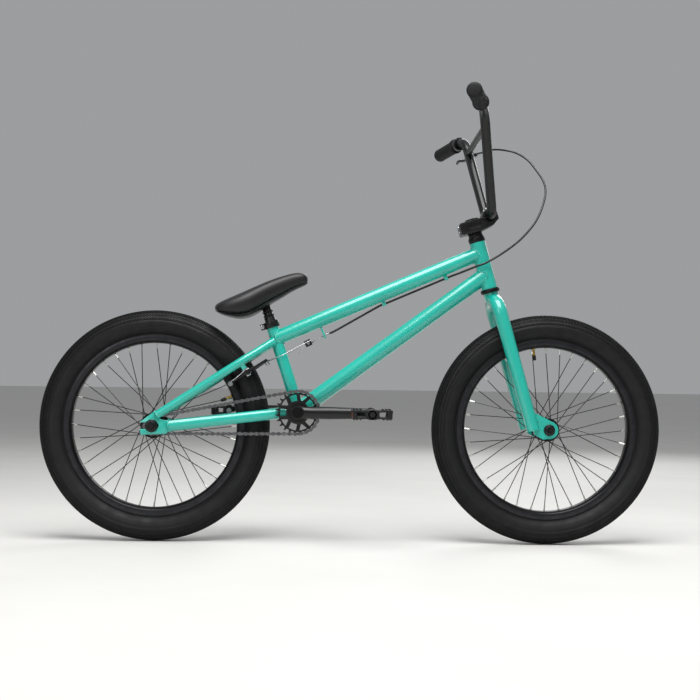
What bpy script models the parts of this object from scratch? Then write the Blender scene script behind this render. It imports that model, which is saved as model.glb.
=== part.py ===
"""BMX bike, in metres, +X forward, +Y to the rider's left, +Z up.

The origin is on the ground, midway between the two wheel axles. The frame, fork and bars are built from
tubes along measured centre lines, and every moving piece hangs from an empty on its joint's axis.
"""

import bpy
import bmesh
from math import acos, asin, atan2, cos, pi, radians, sin, sqrt, tan
from mathutils import Matrix, Vector

# ---------------------------------------------------------------- driving dimensions
GAP = 0.0003
WHEELBASE = 0.904
WHEEL_RADIUS = 0.265
REAR_AXLE = Vector((-WHEELBASE / 2, 0, WHEEL_RADIUS))
FRONT_AXLE = Vector((WHEELBASE / 2, 0, WHEEL_RADIUS))

BB = Vector((-0.122, 0, 0.2985))
BB_HALF_WIDTH = 0.0365
BB_RADIUS = 0.0240
SPINDLE_RADIUS = 0.0095

HEAD_ANGLE = radians(74.66)
HEAD_CENTRE = Vector((0.3049, 0, 0.6441))
HEAD_HALF = 0.056
HEAD_RADIUS = 0.0183
STEERER_RADIUS = 0.0143

SEAT_ANGLE = radians(71.86)
SEAT_FOOT = Vector((-0.120, 0, 0.2985))
SEAT_TOP_Z = 0.4985
SEAT_TUBE_RADIUS = 0.0143
POST_RADIUS = 0.0127

TOP_TUBE_ANGLE = radians(23.43)
TOP_TUBE_POINT = Vector((-0.1137, 0, 0.4953))
TOP_TUBE_RADIUS = 0.01745
DOWN_TUBE_ANGLE = radians(36.60)
DOWN_TUBE_POINT = Vector((-0.0443, 0, 0.3594))
DOWN_TUBE_RADIUS = 0.01905
TUBE_WALL = 0.0012

SEAT_STAY_ANGLE = radians(33.30)
SEAT_STAY_POINT = Vector((-0.4186, 0, 0.3042))
SEAT_STAY_RADIUS = 0.0097
CHAIN_STAY_ANGLE = radians(7.0)
CHAIN_STAY_POINT = Vector((-0.3778, 0, 0.2696))
DROPOUT_THICKNESS = 0.006
REAR_SPACING = 0.055
FRONT_SPACING = 0.050
STAY_END_Y = REAR_SPACING + DROPOUT_THICKNESS / 2

RIM_INNER = 0.1890
RIM_OUTER = 0.2085
RIM_HALF_WIDTH = 0.0170
TYRE_SECTION = 0.0300
TYRE_WALL = 0.0035
WHEEL_SEGMENTS = 32
SPOKES_PER_WHEEL = 36
SPOKE_RADIUS = 0.0012

CHAIN_PITCH = 0.0127
SPROCKET_TEETH = 24
DRIVER_TEETH = 9
CHAIN_LINE_Y = -0.0430
TOOTH_HALF_THICKNESS = 0.0015
CHAIN_GAP_HALF = 0.0021
CHAIN_PLATE = 0.0019
CHAIN_HALF_HEIGHT = 0.0043
CRANK_LENGTH = 0.165

BAR_RADIUS = 0.0111
BAR_CLAMP = (0.1065, 0.0420)
HOUSING_RADIUS = 0.0025
WIRE_RADIUS = 0.0011

TEAL = (0.045, 0.520, 0.400, 1)
BLACK = (0.012, 0.012, 0.013, 1)
RUBBER = (0.020, 0.020, 0.021, 1)
STEEL = (0.450, 0.450, 0.460, 1)
CHAIN_GREY = (0.180, 0.175, 0.170, 1)

Y_AXIS = Vector((0, 1, 0))


# ---------------------------------------------------------------- reference lines
def in_plane(angle):
    """Unit vector in the bike's mid plane, at an angle above +X."""
    return Vector((cos(angle), 0, sin(angle)))


STEER_UP = in_plane(pi - HEAD_ANGLE)
STEER_FORWARD = Vector((STEER_UP.z, 0, -STEER_UP.x))
SEAT_UP = in_plane(pi - SEAT_ANGLE)
TOP_DIRECTION = in_plane(TOP_TUBE_ANGLE)
DOWN_DIRECTION = in_plane(DOWN_TUBE_ANGLE)
STAY_DIRECTION = in_plane(SEAT_STAY_ANGLE)
STAY_NORMAL = Vector((STAY_DIRECTION.z, 0, -STAY_DIRECTION.x))
CHAIN_STAY_DIRECTION = in_plane(CHAIN_STAY_ANGLE)


def steer(up, forward, y=0.0):
    """Point given along and ahead of the steering axis, from the head tube's centre."""
    return HEAD_CENTRE + STEER_UP * up + STEER_FORWARD * forward + Vector((0, y, 0))


def seat_line(z):
    """Point of the seat tube's centre line at height z."""
    return SEAT_FOOT + SEAT_UP * ((z - SEAT_FOOT.z) / SEAT_UP.z)


def crossing(point_a, along_a, point_b, along_b):
    """Where two lines of the mid plane meet."""
    offset = point_b - point_a
    cross = along_a.x * along_b.z - along_a.z * along_b.x
    reach = (offset.x * along_b.z - offset.z * along_b.x) / cross
    return point_a + along_a * reach


def mirrored(point, side):
    """Point with its Y on the named side: -1 for the drive side, +1 for the left."""
    return Vector((point.x, abs(point.y) * side, point.z))


# ---------------------------------------------------------------- scene helpers
for thing in list(bpy.data.objects):
    bpy.data.objects.remove(thing, do_unlink=True)

PARTS = bpy.data.collections.new("bmx_bike")
CUTTERS = bpy.data.collections.new("cutters")
bpy.context.scene.collection.children.link(PARTS)
bpy.context.scene.collection.children.link(CUTTERS)


def make_material(name, colour, roughness, metallic):
    material = bpy.data.materials.new(name)
    material.use_nodes = True
    shader = material.node_tree.nodes["Principled BSDF"]
    shader.inputs["Base Color"].default_value = colour
    shader.inputs["Roughness"].default_value = roughness
    shader.inputs["Metallic"].default_value = metallic
    return material


PAINT = make_material("teal_paint", TEAL, 0.25, 0.0)
BLACK_METAL = make_material("black_metal", BLACK, 0.35, 0.6)
BLACK_RUBBER = make_material("black_rubber", RUBBER, 0.8, 0.0)
BLACK_PLASTIC = make_material("black_plastic", BLACK, 0.5, 0.0)
BRIGHT_STEEL = make_material("bright_steel", STEEL, 0.3, 1.0)
CHAIN_STEEL = make_material("chain_steel", CHAIN_GREY, 0.4, 1.0)


def pivot(name, location, axis, parent=None):
    """Empty on a joint's axis, with its local Z along that axis."""
    empty = bpy.data.objects.new(name, None)
    PARTS.objects.link(empty)
    turn = axis.to_track_quat("Z", "Y").to_matrix().to_4x4()
    empty.matrix_world = Matrix.Translation(location) @ turn
    if parent:
        hold(empty, parent)
    return empty


def hold(child, parent):
    """Parent a piece without moving it."""
    bpy.context.view_layer.update()
    child.parent = parent
    child.matrix_parent_inverse = parent.matrix_world.inverted()


def as_mesh(thing):
    """Turn a curve or a modified mesh into one plain, welded, outward-facing mesh object."""
    bpy.context.view_layer.update()
    depsgraph = bpy.context.evaluated_depsgraph_get()
    mesh = bpy.data.meshes.new_from_object(thing.evaluated_get(depsgraph), depsgraph=depsgraph)
    shape = bmesh.new()
    shape.from_mesh(mesh)
    bmesh.ops.remove_doubles(shape, verts=shape.verts, dist=0.000002)
    bmesh.ops.dissolve_degenerate(shape, dist=0.000001, edges=shape.edges)
    bmesh.ops.recalc_face_normals(shape, faces=shape.faces)
    shape.to_mesh(mesh)
    shape.free()
    solid = bpy.data.objects.new(thing.name, mesh)
    solid.matrix_world = thing.matrix_world.copy()
    for collection in thing.users_collection:
        collection.objects.link(solid)
    name = thing.name
    bpy.data.objects.remove(thing, do_unlink=True)
    solid.name = name
    return solid


def add_object(name, data, matrix=None):
    thing = bpy.data.objects.new(name, data)
    PARTS.objects.link(thing)
    thing.matrix_world = matrix or Matrix.Identity(4)
    return thing


def finish(thing, material, parent=None):
    """Give a piece its material, smooth its round faces and hang it on its joint."""
    thing.data.materials.clear()
    thing.data.materials.append(material)
    thing.data.shade_smooth()
    thing.data.set_sharp_from_angle(angle=radians(35))
    if parent:
        hold(thing, parent)
    return thing


def frame_along(start, direction):
    """Matrix whose Z runs along a direction, from a start point."""
    return Matrix.Translation(start) @ direction.to_track_quat("Z", "Y").to_matrix().to_4x4()


def cylinder(name, start, end, radius, segments=24, end_radius=None):
    """Closed cylinder or cone between two points."""
    length = (end - start).length
    shape = bmesh.new()
    bmesh.ops.create_cone(
        shape, cap_ends=True, segments=segments, radius1=radius,
        radius2=radius if end_radius is None else end_radius, depth=length,
        matrix=Matrix.Translation((0, 0, length / 2)),
    )
    mesh = bpy.data.meshes.new(name)
    shape.to_mesh(mesh)
    shape.free()
    return add_object(name, mesh, frame_along(start, (end - start).normalized()))


def box(name, centre, size, rotation=None):
    shape = bmesh.new()
    bmesh.ops.create_cube(shape, size=1.0, matrix=Matrix.Diagonal((*size, 1)))
    mesh = bpy.data.meshes.new(name)
    shape.to_mesh(mesh)
    shape.free()
    turn = rotation.to_4x4() if rotation else Matrix.Identity(4)
    return add_object(name, mesh, Matrix.Translation(centre) @ turn)


def turned(name, profile, centre, axis, segments=20, closed=True):
    """Solid turned about an axis from (radius, height) points."""
    mesh = bpy.data.meshes.new(name)
    count = len(profile)
    edges = [(i, (i + 1) % count) for i in range(count if closed else count - 1)]
    mesh.from_pydata([(r, 0, h) for r, h in profile], edges, [])
    thing = add_object(name, mesh, frame_along(centre, axis))
    screw = thing.modifiers.new("turn", "SCREW")
    screw.steps = screw.render_steps = segments
    screw.use_merge_vertices = True
    screw.merge_threshold = 0.00001
    return as_mesh(thing)


def swept(name, points, radius, sides=12, scales=None):
    """Round bar through a list of points."""
    curve = bpy.data.curves.new(name, "CURVE")
    curve.dimensions = "3D"
    curve.bevel_depth = radius
    curve.bevel_resolution = (sides - 4) // 2
    curve.use_fill_caps = True
    spline = curve.splines.new("POLY")
    spline.points.add(len(points) - 1)
    for index, point in enumerate(points):
        spline.points[index].co = (*point, 1)
        spline.points[index].radius = scales[index] if scales else 1
    thing = add_object(name, curve)
    return as_mesh(thing)


def plate(name, outlines, thickness, origin, across, upward):
    """Flat plate: the first outline less the others, in an (across, upward) plane through origin."""
    curve = bpy.data.curves.new(name, "CURVE")
    curve.dimensions = "2D"
    curve.fill_mode = "BOTH"
    curve.extrude = thickness / 2
    for outline in outlines:
        spline = curve.splines.new("POLY")
        spline.points.add(len(outline) - 1)
        for index, (u, v) in enumerate(outline):
            spline.points[index].co = (u, v, 0, 1)
        spline.use_cyclic_u = True
    normal = across.cross(upward).normalized()
    matrix = Matrix((across, upward, normal)).transposed().to_4x4()
    thing = add_object(name, curve, Matrix.Translation(origin) @ matrix)
    return as_mesh(thing)


def side_plate(name, outlines, thickness, y):
    """Plate in the XZ plane, from (x, z) outlines."""
    return plate(name, outlines, thickness, Vector((0, y, 0)), Vector((1, 0, 0)), Vector((0, 0, 1)))


def ring_points(radius, count, centre=(0, 0), phase=0.0, sweep=2 * pi):
    """Points on a circle, or on an arc of it with both ends when the sweep is short of a full turn."""
    full = abs(sweep - 2 * pi) < 1e-9
    steps = count if full else count - 1
    angles = [phase + sweep * i / steps for i in range(count)]
    return [(centre[0] + radius * cos(angle), centre[1] + radius * sin(angle)) for angle in angles]


def combine(thing, others, operation="UNION"):
    """Boolean of one solid with others, which are used up."""
    for other in others:
        for collection in list(other.users_collection):
            collection.objects.unlink(other)
        CUTTERS.objects.link(other)
        other.display_type = "WIRE"
        other.hide_render = True
        cut = thing.modifiers.new(operation.lower(), "BOOLEAN")
        cut.operation = operation
        cut.object = other
        cut.solver = "EXACT"
        thing = as_mesh(thing)
        bpy.data.objects.remove(other, do_unlink=True)
    return thing


def cut_with(thing, *cutters):
    return combine(thing, cutters, "DIFFERENCE")


def join_with(thing, *pieces):
    return combine(thing, pieces, "UNION")


def rod(start, end, radius, segments=24):
    """Throw-away cylinder, to cut or join with."""
    return cylinder("tool", start, end, radius, segments)


def long_rod(point, direction, radius, reach=0.4, segments=24):
    return rod(point - direction * reach, point + direction * reach, radius, segments)


def rounded_path(corners, radii, steps=5):
    """Corner points with each inner corner replaced by an arc of its own radius."""
    path = [corners[0]]
    for index in range(1, len(corners) - 1):
        corner = corners[index]
        before = (corners[index - 1] - corner).normalized()
        after = (corners[index + 1] - corner).normalized()
        half = acos(max(-1, min(1, before.dot(after)))) / 2
        reach = radii[index - 1] / tan(half)
        centre = corner + (before + after).normalized() * (radii[index - 1] / sin(half))
        first = corner + before * reach - centre
        last = corner + after * reach - centre
        sweep = first.angle(last)
        for step in range(steps + 1):
            share = step / steps
            blend = (first * sin((1 - share) * sweep) + last * sin(share * sweep)) / sin(sweep)
            path.append(centre + blend)
    path.append(corners[-1])
    return path


def smooth_path(knots, spacing):
    """Evenly spaced points on a smooth curve through the knots."""
    dense = []
    padded = [knots[0] * 2 - knots[1], *knots, knots[-1] * 2 - knots[-2]]
    for index in range(1, len(padded) - 2):
        p0, p1, p2, p3 = padded[index - 1:index + 3]
        for step in range(12):
            t = step / 12
            dense.append(0.5 * (2 * p1 + (p2 - p0) * t + (2 * p0 - 5 * p1 + 4 * p2 - p3) * t * t
                                + (3 * p1 - p0 - 3 * p2 + p3) * t ** 3))
    dense.append(knots[-1])
    path = [dense[0]]
    travelled = 0.0
    for before, after in zip(dense, dense[1:]):
        travelled += (after - before).length
        if travelled >= spacing:
            path.append(after)
            travelled = 0.0
    if (path[-1] - dense[-1]).length < spacing / 2:
        path.pop()
    path.append(dense[-1])
    return path


def ribbon(points, width):
    """Outline of a flat bar of one width along a line of (u, v) points."""
    left, right = [], []
    for index, point in enumerate(points):
        before = points[max(index - 1, 0)]
        after = points[min(index + 1, len(points) - 1)]
        along = Vector((after[0] - before[0], after[1] - before[1])).normalized()
        side = Vector((-along.y, along.x)) * (width / 2)
        left.append((point[0] + side.x, point[1] + side.y))
        right.append((point[0] - side.x, point[1] - side.y))
    return left + right[::-1]


def loft(name, sections):
    """Closed solid through sections of equal point counts."""
    shape = bmesh.new()
    rings = [[shape.verts.new(point) for point in section] for section in sections]
    for before, after in zip(rings, rings[1:]):
        count = len(before)
        for index in range(count):
            nxt = (index + 1) % count
            shape.faces.new((before[index], before[nxt], after[nxt], after[index]))
    shape.faces.new(rings[0][::-1])
    shape.faces.new(rings[-1])
    bmesh.ops.recalc_face_normals(shape, faces=shape.faces)
    mesh = bpy.data.meshes.new(name)
    shape.to_mesh(mesh)
    shape.free()
    return add_object(name, mesh)


def oval(centre, half_height, half_width, heading, count=12):
    """Cross-section square to a nearly level heading: half_height in Z, half_width across it."""
    across = Vector((-heading.y, heading.x, 0)).normalized() * half_width
    upward = Vector((0, 0, half_height))
    angles = [2 * pi * i / count for i in range(count)]
    return [centre + across * cos(angle) + upward * sin(angle) for angle in angles]


# ---------------------------------------------------------------- joint axes
STEERING = pivot("steering_axis", HEAD_CENTRE, STEER_UP)
REAR_SPIN = pivot("rear_wheel_axis", REAR_AXLE, Y_AXIS)
FRONT_SPIN = pivot("front_wheel_axis", FRONT_AXLE, Y_AXIS, STEERING)
CRANK_SPIN = pivot("crank_axis", BB, Y_AXIS)
POST_SLIDE = pivot("seat_post_axis", seat_line(SEAT_TOP_Z), SEAT_UP)
SIDES = {"right": -1, "left": 1}
PEDAL_SPINS = {
    side: pivot(f"pedal_axis_{side}", BB + Vector((-CRANK_LENGTH * sign, 0, 0)), Y_AXIS, CRANK_SPIN)
    for side, sign in SIDES.items()
}


# ---------------------------------------------------------------- frame tubes
def top_tube_below(x, drop):
    """Point under the top tube's centre line, measured square to it."""
    on_line = TOP_TUBE_POINT + TOP_DIRECTION * ((x - TOP_TUBE_POINT.x) / TOP_DIRECTION.x)
    return on_line + Vector((TOP_DIRECTION.z, 0, -TOP_DIRECTION.x)) * drop


GUIDE_DROP = TOP_TUBE_RADIUS + 0.0060
GUIDES_X = (0.0647, 0.2084)
STOP_X = -0.0785
STOP_DROP = 0.0365
STOP_THICKNESS = 0.005


def build_head_tube():
    tube = cylinder("head_tube", steer(-HEAD_HALF, 0), steer(HEAD_HALF, 0), HEAD_RADIUS, 20)
    tube = cut_with(tube, long_rod(HEAD_CENTRE, STEER_UP, HEAD_RADIUS - 0.0025, segments=20))
    finish(tube, PAINT)


def build_seat_tube():
    tube = cylinder("seat_tube", SEAT_FOOT + SEAT_UP * 0.005, seat_line(SEAT_TOP_Z), SEAT_TUBE_RADIUS, 20)
    tube = cut_with(
        tube,
        long_rod(SEAT_FOOT, SEAT_UP, POST_RADIUS + 0.0004, segments=20),
        long_rod(BB, Y_AXIS, BB_RADIUS + GAP, segments=28),
        long_rod(DOWN_TUBE_POINT, DOWN_DIRECTION, DOWN_TUBE_RADIUS + GAP, segments=20),
    )
    finish(tube, PAINT)


def build_top_tube():
    start = crossing(TOP_TUBE_POINT, TOP_DIRECTION, SEAT_FOOT, SEAT_UP) + TOP_DIRECTION * 0.004
    end = crossing(TOP_TUBE_POINT, TOP_DIRECTION, HEAD_CENTRE, STEER_UP) - TOP_DIRECTION * 0.004
    tube = cylinder("top_tube", start, end, TOP_TUBE_RADIUS, 20)
    turn = Matrix((TOP_DIRECTION, Y_AXIS, TOP_DIRECTION.cross(Y_AXIS))).transposed()
    for x in GUIDES_X:
        guide_centre = top_tube_below(x, GUIDE_DROP - 0.002)
        tube = join_with(tube, box("guide", guide_centre, (0.009, 0.009, 0.015), turn))
    tab_top = 0.012
    tab_height = STOP_DROP + 0.008 - tab_top
    tab_centre = top_tube_below(STOP_X, tab_top + tab_height / 2)
    tube = join_with(tube, box("stop", tab_centre, (STOP_THICKNESS, 0.013, tab_height), turn))
    for x in GUIDES_X:
        hole = long_rod(top_tube_below(x, GUIDE_DROP), TOP_DIRECTION, HOUSING_RADIUS + 0.0008, 0.02, 8)
        tube = cut_with(tube, hole)
    tube = cut_with(
        tube,
        long_rod(top_tube_below(STOP_X, STOP_DROP), TOP_DIRECTION, WIRE_RADIUS + 0.0006, 0.02, 12),
        long_rod(TOP_TUBE_POINT, TOP_DIRECTION, TOP_TUBE_RADIUS - TUBE_WALL, 0.8, 20),
        long_rod(SEAT_FOOT, SEAT_UP, SEAT_TUBE_RADIUS + GAP, segments=20),
        long_rod(HEAD_CENTRE, STEER_UP, HEAD_RADIUS + GAP, segments=20),
    )
    finish(tube, PAINT)


def build_down_tube():
    start = crossing(DOWN_TUBE_POINT, DOWN_DIRECTION, BB, in_plane(pi / 2)) + DOWN_DIRECTION * 0.006
    end = crossing(DOWN_TUBE_POINT, DOWN_DIRECTION, HEAD_CENTRE, STEER_UP) - DOWN_DIRECTION * 0.004
    tube = cylinder("down_tube", start, end, DOWN_TUBE_RADIUS, 20)
    tube = cut_with(
        tube,
        long_rod(DOWN_TUBE_POINT, DOWN_DIRECTION, DOWN_TUBE_RADIUS - TUBE_WALL, 0.8, 20),
        long_rod(BB, Y_AXIS, BB_RADIUS + GAP, segments=28),
        long_rod(HEAD_CENTRE, STEER_UP, HEAD_RADIUS + GAP, segments=20),
    )
    finish(tube, PAINT)


def build_bottom_bracket_shell():
    half = Vector((0, BB_HALF_WIDTH, 0))
    shell = cylinder("bottom_bracket_shell", BB - half, BB + half, BB_RADIUS, 28)
    shell = cut_with(shell, long_rod(BB, Y_AXIS, 0.0206, segments=20))
    finish(shell, PAINT)
    for side, sign in SIDES.items():
        inner, outer = 0.0255, BB_HALF_WIDTH - GAP
        bearing = turned(
            f"bottom_bracket_bearing_{side}",
            [(0.0203, inner), (0.0203, outer), (SPINDLE_RADIUS + GAP, outer), (SPINDLE_RADIUS + GAP, inner)],
            BB, Y_AXIS * sign,
        )
        finish(bearing, BLACK_METAL)


def stay_point(origin, direction, x, y):
    return origin + direction * ((x - origin.x) / direction.x) + Vector((0, y, 0))


CHAIN_STAY_END_X = -0.4140
SEAT_STAY_END_X = -0.4405
CHAIN_STAY_HALF_HEIGHT = 0.0127
CHAIN_STAY_HALF_WIDTH = 0.0100
CHAIN_STAY_ROUTE = (
    (-0.1415, 0.0262), (-0.1700, 0.0285), (-0.2000, 0.0400), (-0.2350, 0.0462),
    (-0.3778, 0.0555), (CHAIN_STAY_END_X, STAY_END_Y),
)
SEAT_STAY_ROUTE = (
    (-0.1780, 0.0185), (-0.2050, 0.0260), (-0.2350, 0.0385), (-0.2650, 0.0452),
    (-0.4186, 0.0570), (SEAT_STAY_END_X, STAY_END_Y),
)
BRAKE_PIVOT_X = -0.2548
BRAKE_PIVOT_Y = 0.0435
BOSS_LENGTH = 0.0210
STUD_LENGTH = 0.0375


def brake_point(along, down, y):
    """Point measured along the seat stay and square down from it, from the brake's pivot."""
    root = stay_point(SEAT_STAY_POINT, STAY_DIRECTION, BRAKE_PIVOT_X, 0)
    return root + STAY_DIRECTION * along + STAY_NORMAL * down + Vector((0, y, 0))


def build_stays():
    for side, sign in SIDES.items():
        knots = [stay_point(CHAIN_STAY_POINT, CHAIN_STAY_DIRECTION, x, y * sign) for x, y in CHAIN_STAY_ROUTE]
        path = smooth_path(knots, 0.020)
        headings = [after - before for before, after in zip([path[0], *path], [*path[1:], path[-1]])]
        stay = loft(f"chain_stay_{side}", [
            oval(point, CHAIN_STAY_HALF_HEIGHT, CHAIN_STAY_HALF_WIDTH, heading)
            for point, heading in zip(path, headings)
        ])
        stay = cut_with(
            stay,
            long_rod(BB, Y_AXIS, BB_RADIUS + GAP, segments=28),
            long_rod(SEAT_FOOT, SEAT_UP, SEAT_TUBE_RADIUS + GAP, segments=20),
        )
        finish(stay, PAINT)

        knots = [stay_point(SEAT_STAY_POINT, STAY_DIRECTION, x, y * sign) for x, y in SEAT_STAY_ROUTE]
        stay = swept(f"seat_stay_{side}", smooth_path(knots, 0.022), SEAT_STAY_RADIUS, 12)
        pivot_y = BRAKE_PIVOT_Y * sign
        stay = join_with(
            stay,
            rod(brake_point(0, 0, pivot_y), brake_point(0, BOSS_LENGTH, pivot_y), 0.0065, 12),
            rod(brake_point(0, 0.004, pivot_y), brake_point(0, STUD_LENGTH, pivot_y), 0.0040, 12),
        )
        stay = cut_with(
            stay,
            long_rod(SEAT_FOOT, SEAT_UP, SEAT_TUBE_RADIUS + GAP, segments=20),
            long_rod(TOP_TUBE_POINT, TOP_DIRECTION, TOP_TUBE_RADIUS + GAP, 0.2, 20),
        )
        finish(stay, PAINT)


def build_rear_dropouts():
    def cap_edge(origin, direction, x, half):
        centre = stay_point(origin, direction, x, 0) - direction * (GAP * 2)
        return centre + half, centre - half

    seat_high, seat_low = cap_edge(
        SEAT_STAY_POINT, STAY_DIRECTION, SEAT_STAY_END_X, -STAY_NORMAL * SEAT_STAY_RADIUS)
    chain_high, chain_low = cap_edge(
        CHAIN_STAY_POINT, CHAIN_STAY_DIRECTION, CHAIN_STAY_END_X, Vector((0, 0, CHAIN_STAY_HALF_HEIGHT)))
    slot_half, slot_front = 0.0074, REAR_AXLE.x + 0.0160
    slot_arc = ring_points(slot_half, 7, (slot_front - slot_half, REAR_AXLE.z), -pi / 2, pi)
    outline = [
        (-0.4770, 0.2745), (seat_high.x, seat_high.z), (seat_low.x, seat_low.z), (-0.4270, 0.2785),
        (chain_high.x, chain_high.z), (chain_low.x, chain_low.z), (-0.4185, 0.2475), (-0.4760, 0.2441),
        (-0.4780, REAR_AXLE.z - slot_half), *slot_arc, (-0.4780, REAR_AXLE.z + slot_half),
    ]
    for side, sign in SIDES.items():
        finish(side_plate(f"rear_dropout_{side}", [outline], DROPOUT_THICKNESS, STAY_END_Y * sign), PAINT)


# ---------------------------------------------------------------- seat
CLAMP_LOW_Z = SEAT_TOP_Z - 0.0040
NECK_RADIUS = 0.0105
POST_FOOT_Z, POST_COLLAR_Z, POST_TOP_Z = 0.3950, 0.5180, 0.5470


def build_seat_clamp():
    half_height = 0.0075
    centre = seat_line(SEAT_TOP_Z) + SEAT_UP * 0.0020
    clamp = cylinder("seat_clamp", centre - SEAT_UP * half_height, centre + SEAT_UP * half_height, 0.0178, 20)
    back = Vector((-SEAT_UP.z, 0, SEAT_UP.x))
    turn = Matrix((back, Y_AXIS, back.cross(Y_AXIS))).transposed()
    clamp = join_with(clamp, box("ears", centre + back * 0.0185, (0.015, 0.017, 0.0135), turn))
    clamp = cut_with(
        clamp,
        long_rod(centre, SEAT_UP, SEAT_TUBE_RADIUS + GAP, 0.05, 20),
        box("slit", centre + back * 0.0240, (0.030, 0.0020, 0.020), turn),
        long_rod(centre + back * 0.0215, Y_AXIS, 0.0029, 0.03, 12),
    )
    finish(clamp, BLACK_METAL)
    bolt_centre = centre + back * 0.0215
    bolt = cylinder(
        "seat_clamp_bolt", bolt_centre - Y_AXIS * 0.0100, bolt_centre + Y_AXIS * 0.0100, 0.0025, 12)
    head = rod(bolt_centre - Y_AXIS * 0.0128, bolt_centre - Y_AXIS * 0.0089, 0.0045, 16)
    nut = rod(bolt_centre + Y_AXIS * 0.0088, bolt_centre + Y_AXIS * 0.0118, 0.0045, 6)
    bolt = join_with(bolt, head, nut)
    finish(bolt, BRIGHT_STEEL)


SADDLE_STATIONS = (
    # x, top z, skirt z, half width
    (-0.3170, 0.5415, 0.5310, 0.0400),
    (-0.3000, 0.5530, 0.5215, 0.0560),
    (-0.2650, 0.5690, 0.5130, 0.0620),
    (-0.2300, 0.5855, 0.5150, 0.0560),
    (-0.1950, 0.6015, 0.5430, 0.0400),
    (-0.1600, 0.6140, 0.5640, 0.0290),
    (-0.1300, 0.6220, 0.5830, 0.0235),
    (-0.1120, 0.6190, 0.5900, 0.0190),
    (-0.1025, 0.6110, 0.5975, 0.0115),
)
COVER_SHARE = 0.45
# across as a share of the half width, up as a share of the height
COVER_SECTION = ((-1, 0), (-1, 0.55), (-0.62, 0.84), (0, 1), (0.62, 0.84), (1, 0.55), (1, 0), (0, 0))
BASE_SECTION = ((-1, 0.12), (-1, 1), (-0.62, 1), (0, 1), (0.62, 1), (1, 1), (1, 0.12), (0, 0))


def saddle_section(shares, x, low, high, half_width):
    return [Vector((x, across * half_width, low + up * (high - low))) for across, up in shares]


def build_saddle():
    cover_sections, base_sections = [], []
    for x, top, skirt, half_width in SADDLE_STATIONS:
        split = top - (top - skirt) * COVER_SHARE
        cover_sections.append(saddle_section(COVER_SECTION, x, split + GAP, top, half_width))
        base_sections.append(saddle_section(BASE_SECTION, x, skirt, split - GAP, half_width * 0.94))
    finish(loft("saddle_cover", cover_sections), BLACK_PLASTIC, POST_SLIDE)
    base = loft("saddle_base", base_sections)
    base = cut_with(base, rod(seat_line(0.4900), seat_line(POST_TOP_Z + GAP), NECK_RADIUS + GAP))
    finish(base, BLACK_PLASTIC, POST_SLIDE)


def build_seat_post():
    foot, collar, top = (seat_line(z) for z in (POST_FOOT_Z, POST_COLLAR_Z, POST_TOP_Z))
    post = cylinder("seat_post", foot, collar, POST_RADIUS, 24)
    post = join_with(post, rod(collar - SEAT_UP * 0.004, top, NECK_RADIUS, 24))
    finish(post, BLACK_METAL, POST_SLIDE)


# ---------------------------------------------------------------- headset, fork and stem
LOWER_CUP_HEIGHT, UPPER_CUP_HEIGHT = 0.0093, 0.0123


def build_headset():
    for name, low, high, radius in (
        ("headset_cup_lower", -HEAD_HALF - LOWER_CUP_HEIGHT, -HEAD_HALF - GAP, 0.0225),
        ("headset_cup_upper", HEAD_HALF + GAP, HEAD_HALF + UPPER_CUP_HEIGHT, 0.0198),
    ):
        profile = [
            (radius - 0.0010, high), (radius, (low + high) / 2), (radius - 0.0010, low),
            (STEERER_RADIUS + 0.0005, low), (STEERER_RADIUS + 0.0005, high),
        ]
        finish(turned(name, profile, HEAD_CENTRE, STEER_UP), BLACK_METAL)
    low, high = HEAD_HALF + UPPER_CUP_HEIGHT + GAP, 0.0780
    profile = [(0.0168, high), (0.0168, low), (STEERER_RADIUS + GAP, low), (STEERER_RADIUS + GAP, high)]
    finish(turned("headset_spacer", profile, HEAD_CENTRE, STEER_UP), BLACK_METAL, STEERING)


LEG_Y = 0.0545
LEG_BOTTOM = -0.3955
FORK_AXLE_UP = (FRONT_AXLE - HEAD_CENTRE).dot(STEER_UP)
FORK_AXLE_FORWARD = (FRONT_AXLE - HEAD_CENTRE).dot(STEER_FORWARD)


def build_fork():
    crown_top = -HEAD_HALF - LOWER_CUP_HEIGHT - GAP
    fork = cylinder("fork", steer(crown_top - 0.016, 0), steer(0.1060, 0), STEERER_RADIUS, 20)
    fork = join_with(fork, rod(steer(crown_top - 0.020, 0), steer(crown_top, 0), 0.0175, 20))
    for side, sign in SIDES.items():
        leg_y = LEG_Y * sign
        corners = [steer(-0.0850, 0.0010), steer(-0.0910, 0.0020, leg_y), steer(LEG_BOTTOM, 0.0060, leg_y)]
        path = rounded_path(corners, [0.034], 5)
        path.insert(-1, (path[-2] + path[-1]) / 2)
        scales = [1.0] * (len(path) - 2) + [0.95, 0.90]
        leg = swept("leg", path, 0.0163, 12, scales)
        fork = join_with(fork, leg)
        axle = (FORK_AXLE_FORWARD, FORK_AXLE_UP)
        end_radius = 0.0205
        round_end = ring_points(end_radius, 11, axle, radians(-118), radians(178))
        outline = [(0.0060, -0.3700), (0.0060, -0.4060), (0.0230, -0.4215), *round_end, (0.0190, -0.3570)]
        plate_centre = HEAD_CENTRE + Vector((0, (FRONT_SPACING + DROPOUT_THICKNESS / 2) * sign, 0))
        fork = join_with(fork, plate(
            "dropout", [outline], DROPOUT_THICKNESS, plate_centre, STEER_FORWARD, STEER_UP))
    fork = cut_with(fork, long_rod(FRONT_AXLE, Y_AXIS, 0.0051, 0.1, 20))
    finish(fork, PAINT, STEERING)


STEM_HALF_WIDTH = 0.0260


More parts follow.
